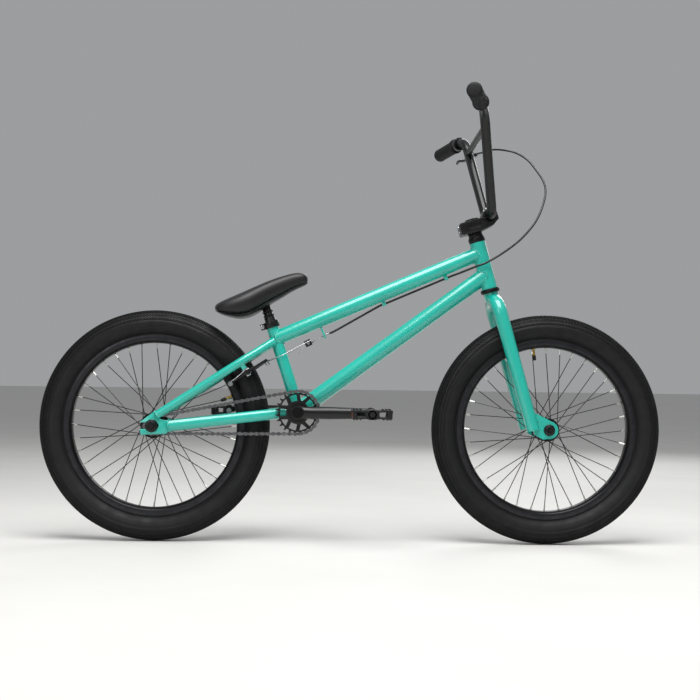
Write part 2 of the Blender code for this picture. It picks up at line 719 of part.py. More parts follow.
def build_stem():
    split = BAR_CLAMP[0] - 0.0002
    outline = [
        (-0.0330, 0.0800), (-0.0280, 0.0784), (0.0140, 0.0784), (0.0440, 0.0850), (0.0590, 0.0960),
        (0.0590, split), (0.0240, split), (0.0180, 0.1080), (-0.0300, 0.1070), (-0.0335, 0.1035),
    ]
    stem = plate("stem", [outline], STEM_HALF_WIDTH * 2, HEAD_CENTRE, STEER_FORWARD, STEER_UP)
    bar_line = steer(*BAR_CLAMP)
    stem = cut_with(
        stem,
        long_rod(HEAD_CENTRE, STEER_UP, STEERER_RADIUS + GAP, segments=24),
        long_rod(bar_line, Y_AXIS, BAR_RADIUS + GAP, 0.1, 24),
    )
    pocket = [(-0.0140, 0.0890), (0.0150, 0.0890), (0.0200, 0.0960), (0.0120, 0.1010), (-0.0140, 0.1010)]
    for sign in SIDES.values():
        flank = HEAD_CENTRE + Vector((0, STEM_HALF_WIDTH * sign, 0))
        stem = cut_with(stem, plate("pocket", [pocket], 0.008, flank, STEER_FORWARD, STEER_UP))
    finish(stem, BLACK_METAL, STEERING)

    top = split + 0.0006
    outline = [
        (0.0240, top), (0.0590, top), (0.0580, 0.1170), (0.0510, 0.1240), (0.0330, 0.1240), (0.0250, 0.1170),
    ]
    cap = plate("stem_bar_cap", [outline], STEM_HALF_WIDTH * 2, HEAD_CENTRE, STEER_FORWARD, STEER_UP)
    cap = cut_with(cap, long_rod(bar_line, Y_AXIS, BAR_RADIUS + GAP, 0.1, 24))
    finish(cap, BLACK_METAL, STEERING)
    finish(cylinder("stem_top_cap", steer(0.1084, 0), steer(0.1120, 0), 0.0160, 24), BLACK_METAL, STEERING)


# ---------------------------------------------------------------- handlebar, grips and brake lever
BAR_BEND = (0.3225, 0.0620, 0.1850)
BAR_END = (0.3310, 0.0190, 0.3710)
CROSSBAR_UP = 0.2870
GRIP_LENGTH = 0.1280


def bar_corner(side_sign, up, forward, y):
    return steer(up, forward, y * side_sign)


def grip_axis(sign):
    """Start point and direction of the straight end of the bar."""
    start = bar_corner(sign, *BAR_BEND)
    return start, (bar_corner(sign, *BAR_END) - start).normalized()


def build_handlebar():
    half = [steer(*BAR_CLAMP, 0.0492), bar_corner(1, *BAR_BEND), bar_corner(1, *BAR_END)]
    corners = [mirrored(point, -1) for point in half[::-1]] + half
    path = rounded_path(corners, [0.055, 0.040, 0.040, 0.055], 4)
    bar = swept("handlebar", path, BAR_RADIUS, 12)
    share = (CROSSBAR_UP - BAR_CLAMP[0]) / (BAR_BEND[0] - BAR_CLAMP[0])
    reach = 0.0492 + share * (BAR_BEND[2] - 0.0492)
    forward = BAR_CLAMP[1] + share * (BAR_BEND[1] - BAR_CLAMP[1])
    ends = (steer(CROSSBAR_UP, forward, -reach), steer(CROSSBAR_UP, forward, reach))
    bar = join_with(bar, rod(*ends, 0.0079, 10))
    finish(bar, BLACK_METAL, STEERING)


def build_grips():
    for side, sign in SIDES.items():
        start, along = grip_axis(sign)
        end = bar_corner(sign, *BAR_END) + along * 0.0040
        bore = BAR_RADIUS + GAP
        inner = end - along * GRIP_LENGTH
        profile = [
            (0.0001, GRIP_LENGTH), (0.0135, GRIP_LENGTH), (0.0168, GRIP_LENGTH - 0.005),
            (0.0155, GRIP_LENGTH - 0.012), (0.0155, 0.012), (0.0175, 0.006), (0.0175, 0.0),
            (bore, 0.0), (bore, GRIP_LENGTH - 0.0035), (0.0001, GRIP_LENGTH - 0.0035),
        ]
        grip = turned(f"grip_{side}", profile, inner, along, 16)
        finish(grip, BLACK_RUBBER, STEERING)


LEVER_ALONG = 0.0440
LEVER_TILT = radians(-43)
LEVER_START, LEVER_GRIP = grip_axis(1)
LEVER_CENTRE = LEVER_START + LEVER_GRIP * LEVER_ALONG
LEVER_REACH = (in_plane(LEVER_TILT) - LEVER_GRIP * in_plane(LEVER_TILT).dot(LEVER_GRIP)).normalized()
LEVER_AXIS = LEVER_GRIP.cross(LEVER_REACH).normalized()
LEVER_PIVOT = LEVER_CENTRE + LEVER_REACH * 0.0340
BARREL_END = LEVER_CENTRE + LEVER_REACH * 0.0450 - LEVER_GRIP * 0.0340 - LEVER_AXIS * 0.0011


def build_brake_lever():
    half = LEVER_GRIP * 0.0065
    perch = cylinder("brake_lever_perch", LEVER_CENTRE - half, LEVER_CENTRE + half, 0.0165, 24)
    turn = Matrix((LEVER_REACH, -LEVER_GRIP, LEVER_AXIS)).transposed()
    arm_centre = LEVER_CENTRE + LEVER_REACH * 0.0280 - LEVER_GRIP * 0.0020 - LEVER_AXIS * 0.0055
    perch = join_with(
        perch,
        box("arm", arm_centre, (0.042, 0.016, 0.009), turn),
        rod(BARREL_END + LEVER_GRIP * 0.0270, BARREL_END, 0.0045, 12),
    )
    perch = cut_with(perch, long_rod(LEVER_CENTRE, LEVER_GRIP, BAR_RADIUS + GAP, 0.05, 24))
    finish(perch, BLACK_METAL, STEERING)

    blade_pivot = pivot("brake_lever_axis", LEVER_PIVOT, LEVER_AXIS, STEERING)
    knots = [
        LEVER_PIVOT + LEVER_GRIP * along + LEVER_REACH * out + LEVER_AXIS * 0.0052
        for along, out in ((-0.004, 0.000), (0.015, 0.008), (0.040, 0.008), (0.065, 0.003), (0.085, 0.006))
    ]
    blade = swept("brake_lever_blade", smooth_path(knots, 0.009), 0.0046, 8)
    finish(blade, BLACK_METAL, blade_pivot)


# ---------------------------------------------------------------- rear brake and its cable
CABLE_ROUTE = (
    (0.3230, 0.150, 0.9380), (0.3370, 0.125, 0.9390), (0.3580, 0.105, 0.9360), (0.3890, 0.085, 0.9260),
    (0.4150, 0.065, 0.9060), (0.4340, 0.045, 0.8770), (0.4490, 0.025, 0.8450), (0.4500, 0.010, 0.8140),
    (0.4360, -0.010, 0.7720), (0.4170, -0.020, 0.7380), (0.3840, -0.027, 0.7010), (0.3450, -0.029, 0.6710),
    (0.3100, -0.0270, 0.6500), (0.2850, -0.0225, 0.6400), (0.2500, -0.0060, 0.6262),
)
HANGER = Vector((-0.1010, 0, 0.4587))
ARM_HUB_LOW, ARM_HUB_HIGH = BOSS_LENGTH + GAP, BOSS_LENGTH + 0.0125


def build_brake_cable():
    start = BARREL_END - LEVER_GRIP * GAP
    knots = [start, start - LEVER_GRIP * 0.012]
    knots += [Vector(point) for point in CABLE_ROUTE]
    for x in GUIDES_X[::-1]:
        guide = top_tube_below(x, GUIDE_DROP)
        knots += [guide + TOP_DIRECTION * 0.015, guide, guide - TOP_DIRECTION * 0.015]
    stop = top_tube_below(STOP_X, STOP_DROP)
    stop_face = stop + TOP_DIRECTION * (STOP_THICKNESS / 2 + GAP)
    knots += [stop_face + TOP_DIRECTION * 0.026, stop_face + TOP_DIRECTION * 0.012, stop_face]
    finish(swept("brake_cable_housing", smooth_path(knots, 0.0145), HOUSING_RADIUS, 8), BLACK_RUBBER)

    wire_start = stop + TOP_DIRECTION * (STOP_THICKNESS / 2 - 0.001)
    along = (wire_start - HANGER).normalized()
    square = Vector((along.z, 0, -along.x))
    wire_end = HANGER + square * 0.0030 + along * 0.0085
    finish(swept("brake_inner_wire", [wire_start, wire_end], WIRE_RADIUS, 8), BRIGHT_STEEL)

    turn = Matrix((along, Y_AXIS, along.cross(Y_AXIS))).transposed()
    finish(box("brake_straddle_hanger", HANGER, (0.0160, 0.0100, 0.0150), turn), BLACK_METAL)
    nose = HANGER + along * (0.0080 + WIRE_RADIUS + GAP) - square * 0.0030
    half = [
        nose + Vector((0, 0.0067, 0)),
        Vector((-0.1580, 0.0185, 0.4300)), brake_point(0.0530, 0.0300, 0.0230),
    ]
    line = [mirrored(point, -1) for point in half[::-1]] + half
    finish(swept("brake_straddle_wire", line, WIRE_RADIUS, 8), BRIGHT_STEEL)


def build_brake_arms():
    thickness = 0.0060
    for side, sign in SIDES.items():
        pivot_y = BRAKE_PIVOT_Y * sign
        level = (ARM_HUB_LOW + ARM_HUB_HIGH) / 2
        spin = pivot(f"brake_arm_axis_{side}", brake_point(0, level, pivot_y), STAY_NORMAL)
        route = [
            (-0.0510, 0.0415), (-0.0360, 0.0435), (-0.0150, 0.0450), (0.0, BRAKE_PIVOT_Y),
            (0.0220, 0.0390), (0.0400, 0.0290), (0.0500, 0.0210),
        ]
        outline = ribbon([(along, y * sign) for along, y in route], 0.0110)
        arm = plate(
            f"brake_arm_{side}", [outline], thickness, brake_point(0, level, 0), STAY_DIRECTION, Y_AXIS)
        hub_low, hub_high = brake_point(0, ARM_HUB_LOW, pivot_y), brake_point(0, ARM_HUB_HIGH, pivot_y)
        arm = join_with(arm, rod(hub_low, hub_high, 0.0090, 16))
        arm = cut_with(arm, rod(brake_point(0, 0, pivot_y), brake_point(0, 0.06, pivot_y), 0.0043, 16))
        finish(arm, BLACK_METAL, spin)

        pad_centre = brake_point(-0.0450, 0.0300, 0)
        radial = (pad_centre - REAR_AXLE).normalized()
        tangent = Vector((radial.z, 0, -radial.x))
        turn = Matrix((tangent, Y_AXIS, tangent.cross(Y_AXIS))).transposed()
        outward = Y_AXIS * sign
        pad = box(f"brake_pad_{side}", pad_centre + outward * 0.0245, (0.040, 0.0090, 0.0095), turn)
        post = rod(pad_centre + outward * 0.0250, pad_centre + outward * 0.0350, 0.0040, 12)
        finish(join_with(pad, post), BLACK_RUBBER, spin)


# ---------------------------------------------------------------- wheels
def build_rim(name, centre, parent):
    half = RIM_HALF_WIDTH
    profile = [
        (RIM_INNER, 0.010), (0.1945, half), (RIM_OUTER, half), (RIM_OUTER, half - 0.0016),
        (0.1995, half - 0.0022), (0.1995, 0.0022 - half), (RIM_OUTER, 0.0016 - half), (RIM_OUTER, -half),
        (0.1945, -half), (RIM_INNER, -0.010),
    ]
    finish(turned(name, profile, centre, Y_AXIS, WHEEL_SEGMENTS), BLACK_METAL, parent)


def build_tyre(name, centre, parent):
    section_centre = WHEEL_RADIUS - TYRE_SECTION
    outer, inner = [], []
    opening = radians(149)
    for step in range(9):
        angle = opening - 2 * opening * step / 8
        outer.append((section_centre + TYRE_SECTION * cos(angle), TYRE_SECTION * sin(angle)))
    for step in range(5):
        angle = -radians(146) + 2 * radians(146) * step / 4
        radius = TYRE_SECTION - TYRE_WALL
        inner.append((section_centre + radius * cos(angle), radius * sin(angle)))
    bead = [(0.2030, -0.0138), (0.2030, -0.0105)]
    profile = outer + bead + inner + [(r, -y) for r, y in bead[::-1]]
    finish(turned(name, profile, centre, Y_AXIS, WHEEL_SEGMENTS), BLACK_RUBBER, parent)


def build_hub(name, centre, parent, flange_radius, flange_y, barrel_radius, end_y, bore):
    """Hub shell with the wheel's spokes, crossed over three others and laced to both flanges."""
    half = 0.0015
    shoulder = (flange_y + end_y) / 2
    profile = [
        (bore, end_y), (0.0105, end_y), (0.0125, shoulder), (barrel_radius, flange_y + half),
        (flange_radius, flange_y + half), (flange_radius, flange_y - half),
        (barrel_radius, flange_y - 0.006), (barrel_radius, 0.006 - flange_y),
        (flange_radius, half - flange_y), (flange_radius, -flange_y - half),
        (barrel_radius, -flange_y - half), (0.0125, -shoulder), (0.0105, -end_y), (bore, -end_y),
    ]
    hub = turned(name, profile, centre, Y_AXIS, 16)
    spokes = bmesh.new()
    hole_radius = flange_radius - 0.0035
    tip_radius = RIM_INNER * cos(pi / WHEEL_SEGMENTS) - GAP * 2
    per_flange = SPOKES_PER_WHEEL // 2
    lace = radians(360 * 3 / per_flange)
    for index in range(SPOKES_PER_WHEEL):
        flange = 1 if index % 2 else -1
        turn = 1 if (index // 2) % 2 else -1
        tip_angle = 2 * pi * index / SPOKES_PER_WHEEL
        root_angle = tip_angle + turn * (lace - pi / SPOKES_PER_WHEEL)
        root_y = flange_y * flange + turn * 0.0024
        tip_y = 0.0035 * flange + turn * 0.0004
        root = Vector((hole_radius * cos(root_angle), root_y, hole_radius * sin(root_angle)))
        tip = Vector((tip_radius * cos(tip_angle), tip_y, tip_radius * sin(tip_angle)))
        along = tip - root
        bmesh.ops.create_cone(
            spokes, cap_ends=True, segments=3, radius1=SPOKE_RADIUS, radius2=SPOKE_RADIUS,
            depth=along.length, matrix=frame_along((root + tip) / 2, along),
        )
    mesh = bpy.data.meshes.new("spokes")
    spokes.to_mesh(mesh)
    spokes.free()
    bundle = add_object("spokes", mesh, Matrix.Translation(centre))
    finish(join_with(hub, bundle), BLACK_METAL, parent)


def build_wheels():
    build_hub("front_hub_with_spokes", FRONT_AXLE, FRONT_SPIN, 0.0270, 0.0340, 0.0135, 0.0470, 0.0051)
    build_rim("front_rim", FRONT_AXLE, FRONT_SPIN)
    build_tyre("front_tyre", FRONT_AXLE, FRONT_SPIN)
    build_hub("rear_hub_with_spokes", REAR_AXLE, REAR_SPIN, 0.0290, 0.0330, 0.0160, 0.0385, 0.0074)
    build_rim("rear_rim", REAR_AXLE, REAR_SPIN)
    build_tyre("rear_tyre", REAR_AXLE, REAR_SPIN)


def build_axle(name, centre, radius, half_length, spacing, dropout_outer, nut_radius, parent):
    """Axle with its locknuts inside the dropouts, and a hexagon nut outside each."""
    axle = cylinder(name, centre - Y_AXIS * half_length, centre + Y_AXIS * half_length, radius, 12)
    for outward in (-Y_AXIS, Y_AXIS):
        inner, outer = centre + outward * (spacing - 0.0022), centre + outward * (spacing - GAP)
        axle = join_with(axle, rod(inner, outer, radius + 0.0035, 12))
    finish(axle, BLACK_METAL, parent)
    for side, sign in SIDES.items():
        outward = Y_AXIS * sign
        foot = centre + outward * (dropout_outer + GAP)
        nut = cylinder(
            f"{name}_nut_{side}", foot, centre + outward * (dropout_outer + 0.0115), nut_radius, 6)
        washer = rod(foot, foot + outward * 0.0030, nut_radius + 0.0018, 16)
        nut = cut_with(join_with(nut, washer), long_rod(centre, Y_AXIS, radius + GAP, 0.1, 12))
        finish(nut, BLACK_METAL, parent)


def build_axles():
    build_axle("front_axle", FRONT_AXLE, 0.0048, 0.0700, FRONT_SPACING,
               FRONT_SPACING + DROPOUT_THICKNESS, 0.0098, STEERING)
    build_axle("rear_axle", REAR_AXLE, 0.0070, 0.0760, REAR_SPACING,
               REAR_SPACING + DROPOUT_THICKNESS, 0.0112, None)


# ---------------------------------------------------------------- drive
def pitch_radius(teeth):
    return CHAIN_PITCH / (2 * sin(pi / teeth))


def sprocket_outline(teeth, phase):
    """Toothed outline with a flat-bottomed gap and a narrow tip for each tooth."""
    pitch = pitch_radius(teeth)
    root, tip = pitch - 0.0043, pitch + 0.0032
    step = 2 * pi / teeth
    outline = []
    for tooth in range(teeth):
        centre = phase + tooth * step
        for share, radius in ((-0.30, root), (-0.09, tip), (0.09, tip), (0.30, root)):
            angle = centre + share * step
            outline.append((radius * cos(angle), radius * sin(angle)))
    return outline


WINDOW_PAIRS = 5
WINDOW_OUTER = 0.0410
# radius of the inner edge, half angle there: a tapered opening on the arm's line, a square one between
TAPERED_WINDOW = (0.0283, radians(3.0))
SQUARE_WINDOW = (0.0265, radians(15.0))


def sprocket_window(middle, inner_radius, inner_half):
    """Outline of one opening between two of the sprocket's arms."""
    outer_half = radians(12.5)
    outer = ring_points(WINDOW_OUTER, 4, phase=middle - outer_half, sweep=outer_half * 2)
    inner = ring_points(inner_radius, 3, phase=middle + inner_half, sweep=-inner_half * 2)
    return outer + inner


def build_sprocket():
    outline = sprocket_outline(SPROCKET_TEETH, pi / SPROCKET_TEETH)
    step = 2 * pi / WINDOW_PAIRS
    windows = [sprocket_window(index * step, *TAPERED_WINDOW) for index in range(WINDOW_PAIRS)]
    windows += [sprocket_window((index + 0.5) * step, *SQUARE_WINDOW) for index in range(WINDOW_PAIRS)]
    sprocket = plate(
        "sprocket", [outline, *windows], TOOTH_HALF_THICKNESS * 2, BB + Vector((0, CHAIN_LINE_Y, 0)),
        Vector((1, 0, 0)), Vector((0, 0, 1)))
    sprocket = join_with(sprocket, rod(BB - Y_AXIS * 0.0388, BB - Y_AXIS * 0.0488, 0.0185, 16))
    sprocket = cut_with(sprocket, long_rod(BB, Y_AXIS, SPINDLE_RADIUS + GAP, 0.1, 16))
    finish(sprocket, BLACK_METAL, CRANK_SPIN)


def build_driver():
    driver_spin = pivot("driver_axis", REAR_AXLE, Y_AXIS)
    driver = plate(
        "rear_driver_cog", [sprocket_outline(DRIVER_TEETH, pi / 2)], TOOTH_HALF_THICKNESS * 2,
        REAR_AXLE + Vector((0, CHAIN_LINE_Y, 0)), Vector((1, 0, 0)), Vector((0, 0, 1)))
    driver = join_with(driver, rod(REAR_AXLE - Y_AXIS * 0.0392, REAR_AXLE - Y_AXIS * 0.0500, 0.0125, 16))
    driver = cut_with(driver, long_rod(REAR_AXLE, Y_AXIS, 0.0074, 0.1, 16))
    finish(driver, CHAIN_STEEL, driver_spin)


CHAIN_SPAN = BB - REAR_AXLE
CHAIN_HEADING = atan2(CHAIN_SPAN.z, CHAIN_SPAN.x)
CHAIN_LEAN = asin((pitch_radius(SPROCKET_TEETH) - pitch_radius(DRIVER_TEETH)) / CHAIN_SPAN.length)


def chain_outline(offset, steps_big, steps_small):
    """Closed line around both sprockets at an offset from the pitch line, as (x, z) points."""
    big, small = pitch_radius(SPROCKET_TEETH) + offset, pitch_radius(DRIVER_TEETH) + offset
    front_start = CHAIN_HEADING - pi / 2 - CHAIN_LEAN
    back_start = CHAIN_HEADING + pi / 2 + CHAIN_LEAN
    front = ring_points(big, steps_big, (BB.x, BB.z), front_start, pi + 2 * CHAIN_LEAN)
    back = ring_points(small, steps_small, (REAR_AXLE.x, REAR_AXLE.z), back_start, pi - 2 * CHAIN_LEAN)
    return front + back


def build_chain():
    outlines = [chain_outline(CHAIN_HALF_HEIGHT, 12, 7), chain_outline(-CHAIN_HALF_HEIGHT, 12, 7)]
    middle = CHAIN_GAP_HALF + CHAIN_PLATE / 2
    chain = side_plate("chain", outlines, CHAIN_PLATE, CHAIN_LINE_Y - middle)
    pins = []
    for sign in (-1, 1):
        along = in_plane(CHAIN_HEADING + sign * CHAIN_LEAN)
        outward = Vector((-along.z, 0, along.x)) * sign
        start = REAR_AXLE + outward * pitch_radius(DRIVER_TEETH)
        for reach in (0.060, 0.110, 0.160, 0.210, 0.260):
            centre = start + along * reach + Y_AXIS * CHAIN_LINE_Y
            pins.append(rod(centre - Y_AXIS * middle, centre + Y_AXIS * middle, 0.0026, 8))
    chain = join_with(chain, *pins)
    chain = join_with(chain, side_plate("inner", outlines, CHAIN_PLATE, CHAIN_LINE_Y + middle))
    finish(chain, CHAIN_STEEL)


CRANK_BOSS_RADIUS = 0.0155
CRANK_BOSS_Y = (0.0495, 0.0770)
PEDAL_BOSS_Y = (0.0640, 0.0840)
PEDAL_AXLE_RADIUS = 0.0060


def build_cranks():
    spindle = cylinder("crank_spindle", BB - Y_AXIS * 0.0760, BB + Y_AXIS * 0.0760, SPINDLE_RADIUS, 24)
    finish(spindle, BLACK_METAL, CRANK_SPIN)
    for side, sign in SIDES.items():
        forward, outward = Vector((-sign, 0, 0)), Y_AXIS * sign
        end = BB + forward * CRANK_LENGTH
        arm_start = BB + forward * 0.006 + outward * (sum(CRANK_BOSS_Y) / 2 + 0.001)
        arm_end = end - forward * 0.004 + outward * (sum(PEDAL_BOSS_Y) / 2)
        heading = (arm_end - arm_start).normalized()
        arm = loft(f"crank_arm_{side}", [
            oval(arm_start, 0.0140, 0.0110, heading),
            oval(arm_start.lerp(arm_end, 0.45), 0.0140, 0.0100, heading),
            oval(arm_end, 0.0115, 0.0085, heading),
        ])
        arm = join_with(
            arm,
            rod(BB + outward * CRANK_BOSS_Y[0], BB + outward * CRANK_BOSS_Y[1], CRANK_BOSS_RADIUS, 20),
            rod(end + outward * PEDAL_BOSS_Y[0], end + outward * PEDAL_BOSS_Y[1], 0.0140, 16),
        )
        arm = cut_with(
            arm,
            long_rod(BB, Y_AXIS, SPINDLE_RADIUS + GAP, 0.15, 16),
            long_rod(end, Y_AXIS, PEDAL_AXLE_RADIUS + GAP, 0.15, 12),
        )
        finish(arm, BLACK_METAL, CRANK_SPIN)

        axle = cylinder(
            f"pedal_axle_{side}", end + outward * 0.0660, end + outward * 0.1760, PEDAL_AXLE_RADIUS, 16)
        finish(axle, BRIGHT_STEEL, CRANK_SPIN)


PEDAL_HALF_LENGTH = 0.0450
PEDAL_Y = (0.0870, 0.1840)
PEDAL_HALF_HEIGHT = 0.0125


def build_pedals():
    for side, sign in SIDES.items():
        centre = BB + Vector((-CRANK_LENGTH * sign, sum(PEDAL_Y) / 2 * sign, 0))
        half_width = (PEDAL_Y[1] - PEDAL_Y[0]) / 2
        outline = [
            (-PEDAL_HALF_LENGTH, -half_width * 0.80), (-PEDAL_HALF_LENGTH * 0.84, -half_width),
            (PEDAL_HALF_LENGTH * 0.84, -half_width), (PEDAL_HALF_LENGTH, -half_width * 0.80),
            (PEDAL_HALF_LENGTH, half_width * 0.80), (PEDAL_HALF_LENGTH * 0.84, half_width),
            (-PEDAL_HALF_LENGTH * 0.84, half_width), (-PEDAL_HALF_LENGTH, half_width * 0.80),
        ]
        windows = []
        for near, far in ((-0.0370, -0.0130), (0.0130, 0.0370)):
            for low, high in ((-0.0360, -0.0040), (0.0040, 0.0360)):
                windows.append([(near, low), (far, low), (far, high), (near, high)])
        body = plate(
            f"pedal_body_{side}", [outline, *windows], PEDAL_HALF_HEIGHT * 2, centre,
            Vector((1, 0, 0)), Y_AXIS)
        bore_start = centre - Y_AXIS * (half_width + 0.02) * sign
        bore_end = centre + Y_AXIS * (half_width - 0.0065) * sign
        body = cut_with(body, rod(bore_start, bore_end, PEDAL_AXLE_RADIUS + GAP, 16))
        finish(body, BLACK_PLASTIC, PEDAL_SPINS[side])


build_head_tube()
build_seat_tube()
build_top_tube()
build_down_tube()
build_bottom_bracket_shell()
build_stays()
build_rear_dropouts()
build_seat_clamp()
build_seat_post()
build_saddle()
build_headset()
build_fork()
build_stem()
build_handlebar()
build_grips()
build_brake_lever()
build_brake_cable()
build_brake_arms()
build_wheels()
build_axles()
build_sprocket()
build_driver()
build_chain()
build_cranks()
build_pedals()

pieces = [thing for thing in PARTS.objects if thing.type == "MESH"]
faces = sum(len(thing.data.polygons) for thing in pieces)
print(f"{len(pieces)} pieces, {faces} faces")
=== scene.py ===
from math import asin, atan2, cos, pi, radians, sin, sqrt

import bmesh
import bpy
from mathutils import Matrix, Vector


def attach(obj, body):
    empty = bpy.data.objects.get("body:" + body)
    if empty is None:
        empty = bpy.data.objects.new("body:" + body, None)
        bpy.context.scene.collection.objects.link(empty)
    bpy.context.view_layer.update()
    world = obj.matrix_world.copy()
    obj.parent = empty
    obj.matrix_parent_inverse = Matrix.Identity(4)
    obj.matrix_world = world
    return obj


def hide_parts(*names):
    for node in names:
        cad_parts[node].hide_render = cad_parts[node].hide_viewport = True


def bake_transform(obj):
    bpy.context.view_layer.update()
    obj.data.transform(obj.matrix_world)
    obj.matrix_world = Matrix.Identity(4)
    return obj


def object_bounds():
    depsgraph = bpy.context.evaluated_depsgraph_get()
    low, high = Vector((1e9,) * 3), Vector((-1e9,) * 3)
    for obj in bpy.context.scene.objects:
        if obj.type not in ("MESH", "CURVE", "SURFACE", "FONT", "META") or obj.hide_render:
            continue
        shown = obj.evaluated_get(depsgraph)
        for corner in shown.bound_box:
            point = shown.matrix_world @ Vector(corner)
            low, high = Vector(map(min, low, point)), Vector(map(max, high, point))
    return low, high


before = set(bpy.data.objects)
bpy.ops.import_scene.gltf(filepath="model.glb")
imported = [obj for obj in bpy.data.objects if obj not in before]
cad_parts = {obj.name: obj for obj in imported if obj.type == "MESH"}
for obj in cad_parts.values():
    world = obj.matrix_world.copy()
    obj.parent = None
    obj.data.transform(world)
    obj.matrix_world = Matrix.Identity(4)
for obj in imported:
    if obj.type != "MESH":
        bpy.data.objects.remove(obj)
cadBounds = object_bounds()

xAxis, yAxis, zAxis = Vector((1, 0, 0)), Vector((0, 1, 0)), Vector((0, 0, 1))
sides = {"right": -1, "left": 1}  # the drive side is at -Y
print("frame loaded:", len(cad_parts), "nodes")


# small node and mesh helpers
def addNode(tree, kind, inputs=None, **settings):
    node = tree.nodes.new(kind)
    for name, value in settings.items():
        setattr(node, name, value)
    for name, value in (inputs or {}).items():
        if isinstance(value, bpy.types.NodeSocket):
            tree.links.new(value, node.inputs[name])
        else:
            node.inputs[name].default_value = value
    return node


def hexColour(text):
    parts = [int(text[i:i + 2], 16) / 255 for i in (1, 3, 5)]
    return tuple(p / 12.92 if p <= 0.04045 else ((p + 0.055) / 1.055) ** 2.4 for p in parts) + (1.0,)


def makeMaterial(name, colour, shade, roughness, spread, patchMm, grainMm, bumpMm, **sockets):
    # colour and shade mix in soft patches, the roughness wanders by spread, and a fine grain gives the bump
    material = bpy.data.materials.new(name)
    material.use_nodes = True
    tree = material.node_tree
    shader = tree.nodes["Principled BSDF"]
    for socket, value in sockets.items():
        shader.inputs[socket.replace("_", " ")].default_value = value
    place = addNode(tree, "ShaderNodeTexCoord").outputs["Object"]
    patches = addNode(tree, "ShaderNodeTexNoise", {"Vector": place, "Scale": 1000 / patchMm, "Detail": 4.0})
    ramp = addNode(tree, "ShaderNodeValToRGB", {"Fac": patches.outputs[0]})
    ramp.color_ramp.elements[0].position, ramp.color_ramp.elements[1].position = 0.35, 0.65
    ramp.color_ramp.elements[0].color, ramp.color_ramp.elements[1].color = hexColour(shade), hexColour(colour)
    tree.links.new(ramp.outputs["Color"], shader.inputs["Base Color"])
    wander = addNode(tree, "ShaderNodeMapRange", {
        "Value": patches.outputs[0], "From Min": 0.3, "From Max": 0.7,
        "To Min": roughness + spread, "To Max": roughness - spread})
    tree.links.new(wander.outputs["Result"], shader.inputs["Roughness"])
    grain = addNode(tree, "ShaderNodeTexNoise", {"Vector": place, "Scale": 1000 / grainMm, "Detail": 2.0})
    bump = addNode(tree, "ShaderNodeBump",
                   {"Height": grain.outputs[0], "Strength": 0.6, "Distance": bumpMm / 1000})
    tree.links.new(bump.outputs["Normal"], shader.inputs["Normal"])
    return material


# gloss enamel over steel tube: saturated and even, under a wet-looking clear coat with a faint orange peel
tealEnamel = makeMaterial("teal_enamel", "#08B2A0", "#06A897", 0.34, 0.03, 120, 6.0, 0.001,
                          Coat_Weight=1.0, Coat_Roughness=0.16)
# painted and e-coated steel: satin black that catches a narrow soft highlight
blackCoat = makeMaterial("black_satin_coat", "#0A0A0B", "#060607", 0.36, 0.05, 40, 2.0, 0.003,
                         Coat_Weight=0.22, Coat_Roughness=0.14, Specular_IOR_Level=0.30)
# black anodised aluminium of hubs and headset: neutral, slightly metallic
blackAnodised = makeMaterial("black_anodised_aluminium", "#0C0C0E", "#08080A", 0.34, 0.05, 30, 1.5, 0.004,
                             Metallic=0.3,
                             Specular_IOR_Level=0.35)
# brake track of the rim, rubbed to a slightly paler grey
rimTrack = makeMaterial("brushed_black_rim_track", "#2E2E31", "#222225", 0.32, 0.06, 18, 1.0, 0.008,
                        Metallic=0.6)
# tyre rubber: dull, dusty in patches, with moulding grain
tyreRubber = makeMaterial("tyre_rubber", "#0E0E0F", "#080809", 0.60, 0.08, 25, 1.5, 0.05,
                          Specular_IOR_Level=0.32)
# soft grip and brake pad rubber
gripRubber = makeMaterial("grip_rubber", "#0C0C0D", "#080808", 0.66, 0.06, 15, 1.0, 0.04,
                          Specular_IOR_Level=0.35)
# moulded polyurethane skin of the saddle: fine pebble grain and a broad soft sheen
saddleSkin = makeMaterial("saddle_polyurethane_skin", "#0F0E11", "#0A090C", 0.44, 0.05, 35, 1.4, 0.03,
                          Sheen_Weight=0.05,
                          Specular_IOR_Level=0.42)
# glass-filled nylon of pedals and saddle base
nylon = makeMaterial("moulded_nylon", "#0F0F11", "#0A0A0B", 0.46, 0.07, 22, 1.3, 0.03,
                     Specular_IOR_Level=0.40)
# bright zinc plate on bolts and nuts
zincSteel = makeMaterial("zinc_plated_steel", "#C4C5C8", "#A2A3A7", 0.26, 0.08, 6, 0.7, 0.01, Metallic=1.0)
# plain chain steel, grey under a film of oil
chainSteel = makeMaterial("oiled_chain_steel", "#8A8A8C", "#5A5A5D", 0.34, 0.10, 5, 0.8, 0.02, Metallic=1.0)
# stranded stainless wire, its lay drawn as fine grain
wireSteel = makeMaterial("stranded_stainless_wire", "#C0C1C4", "#A4A5A9", 0.28, 0.05, 2, 0.6, 0.01,
                         Metallic=1.0)
# nickel plate on the spoke nipples
nickel = makeMaterial("nickel_plated_brass", "#C9C8C4", "#A9A8A3", 0.24, 0.06, 5, 0.8, 0.005, Metallic=1.0)
# bare brass of the valve stems
brass = makeMaterial("machined_brass", "#D9B454", "#B8903A", 0.27, 0.06, 8, 0.8, 0.005, Metallic=1.0)
# extruded PVC cable jacket
jacket = makeMaterial("pvc_cable_jacket", "#0B0B0C", "#070708", 0.30, 0.04, 30, 2.0, 0.005)
# prismatic amber reflector, cells of 2.5 mm
amber = makeMaterial("amber_acrylic_reflector", "#D9560A", "#B84205", 0.15, 0.04, 12, 2.5, 0.20,
                     Coat_Weight=1.0, Transmission_Weight=0.15)
print("materials made")


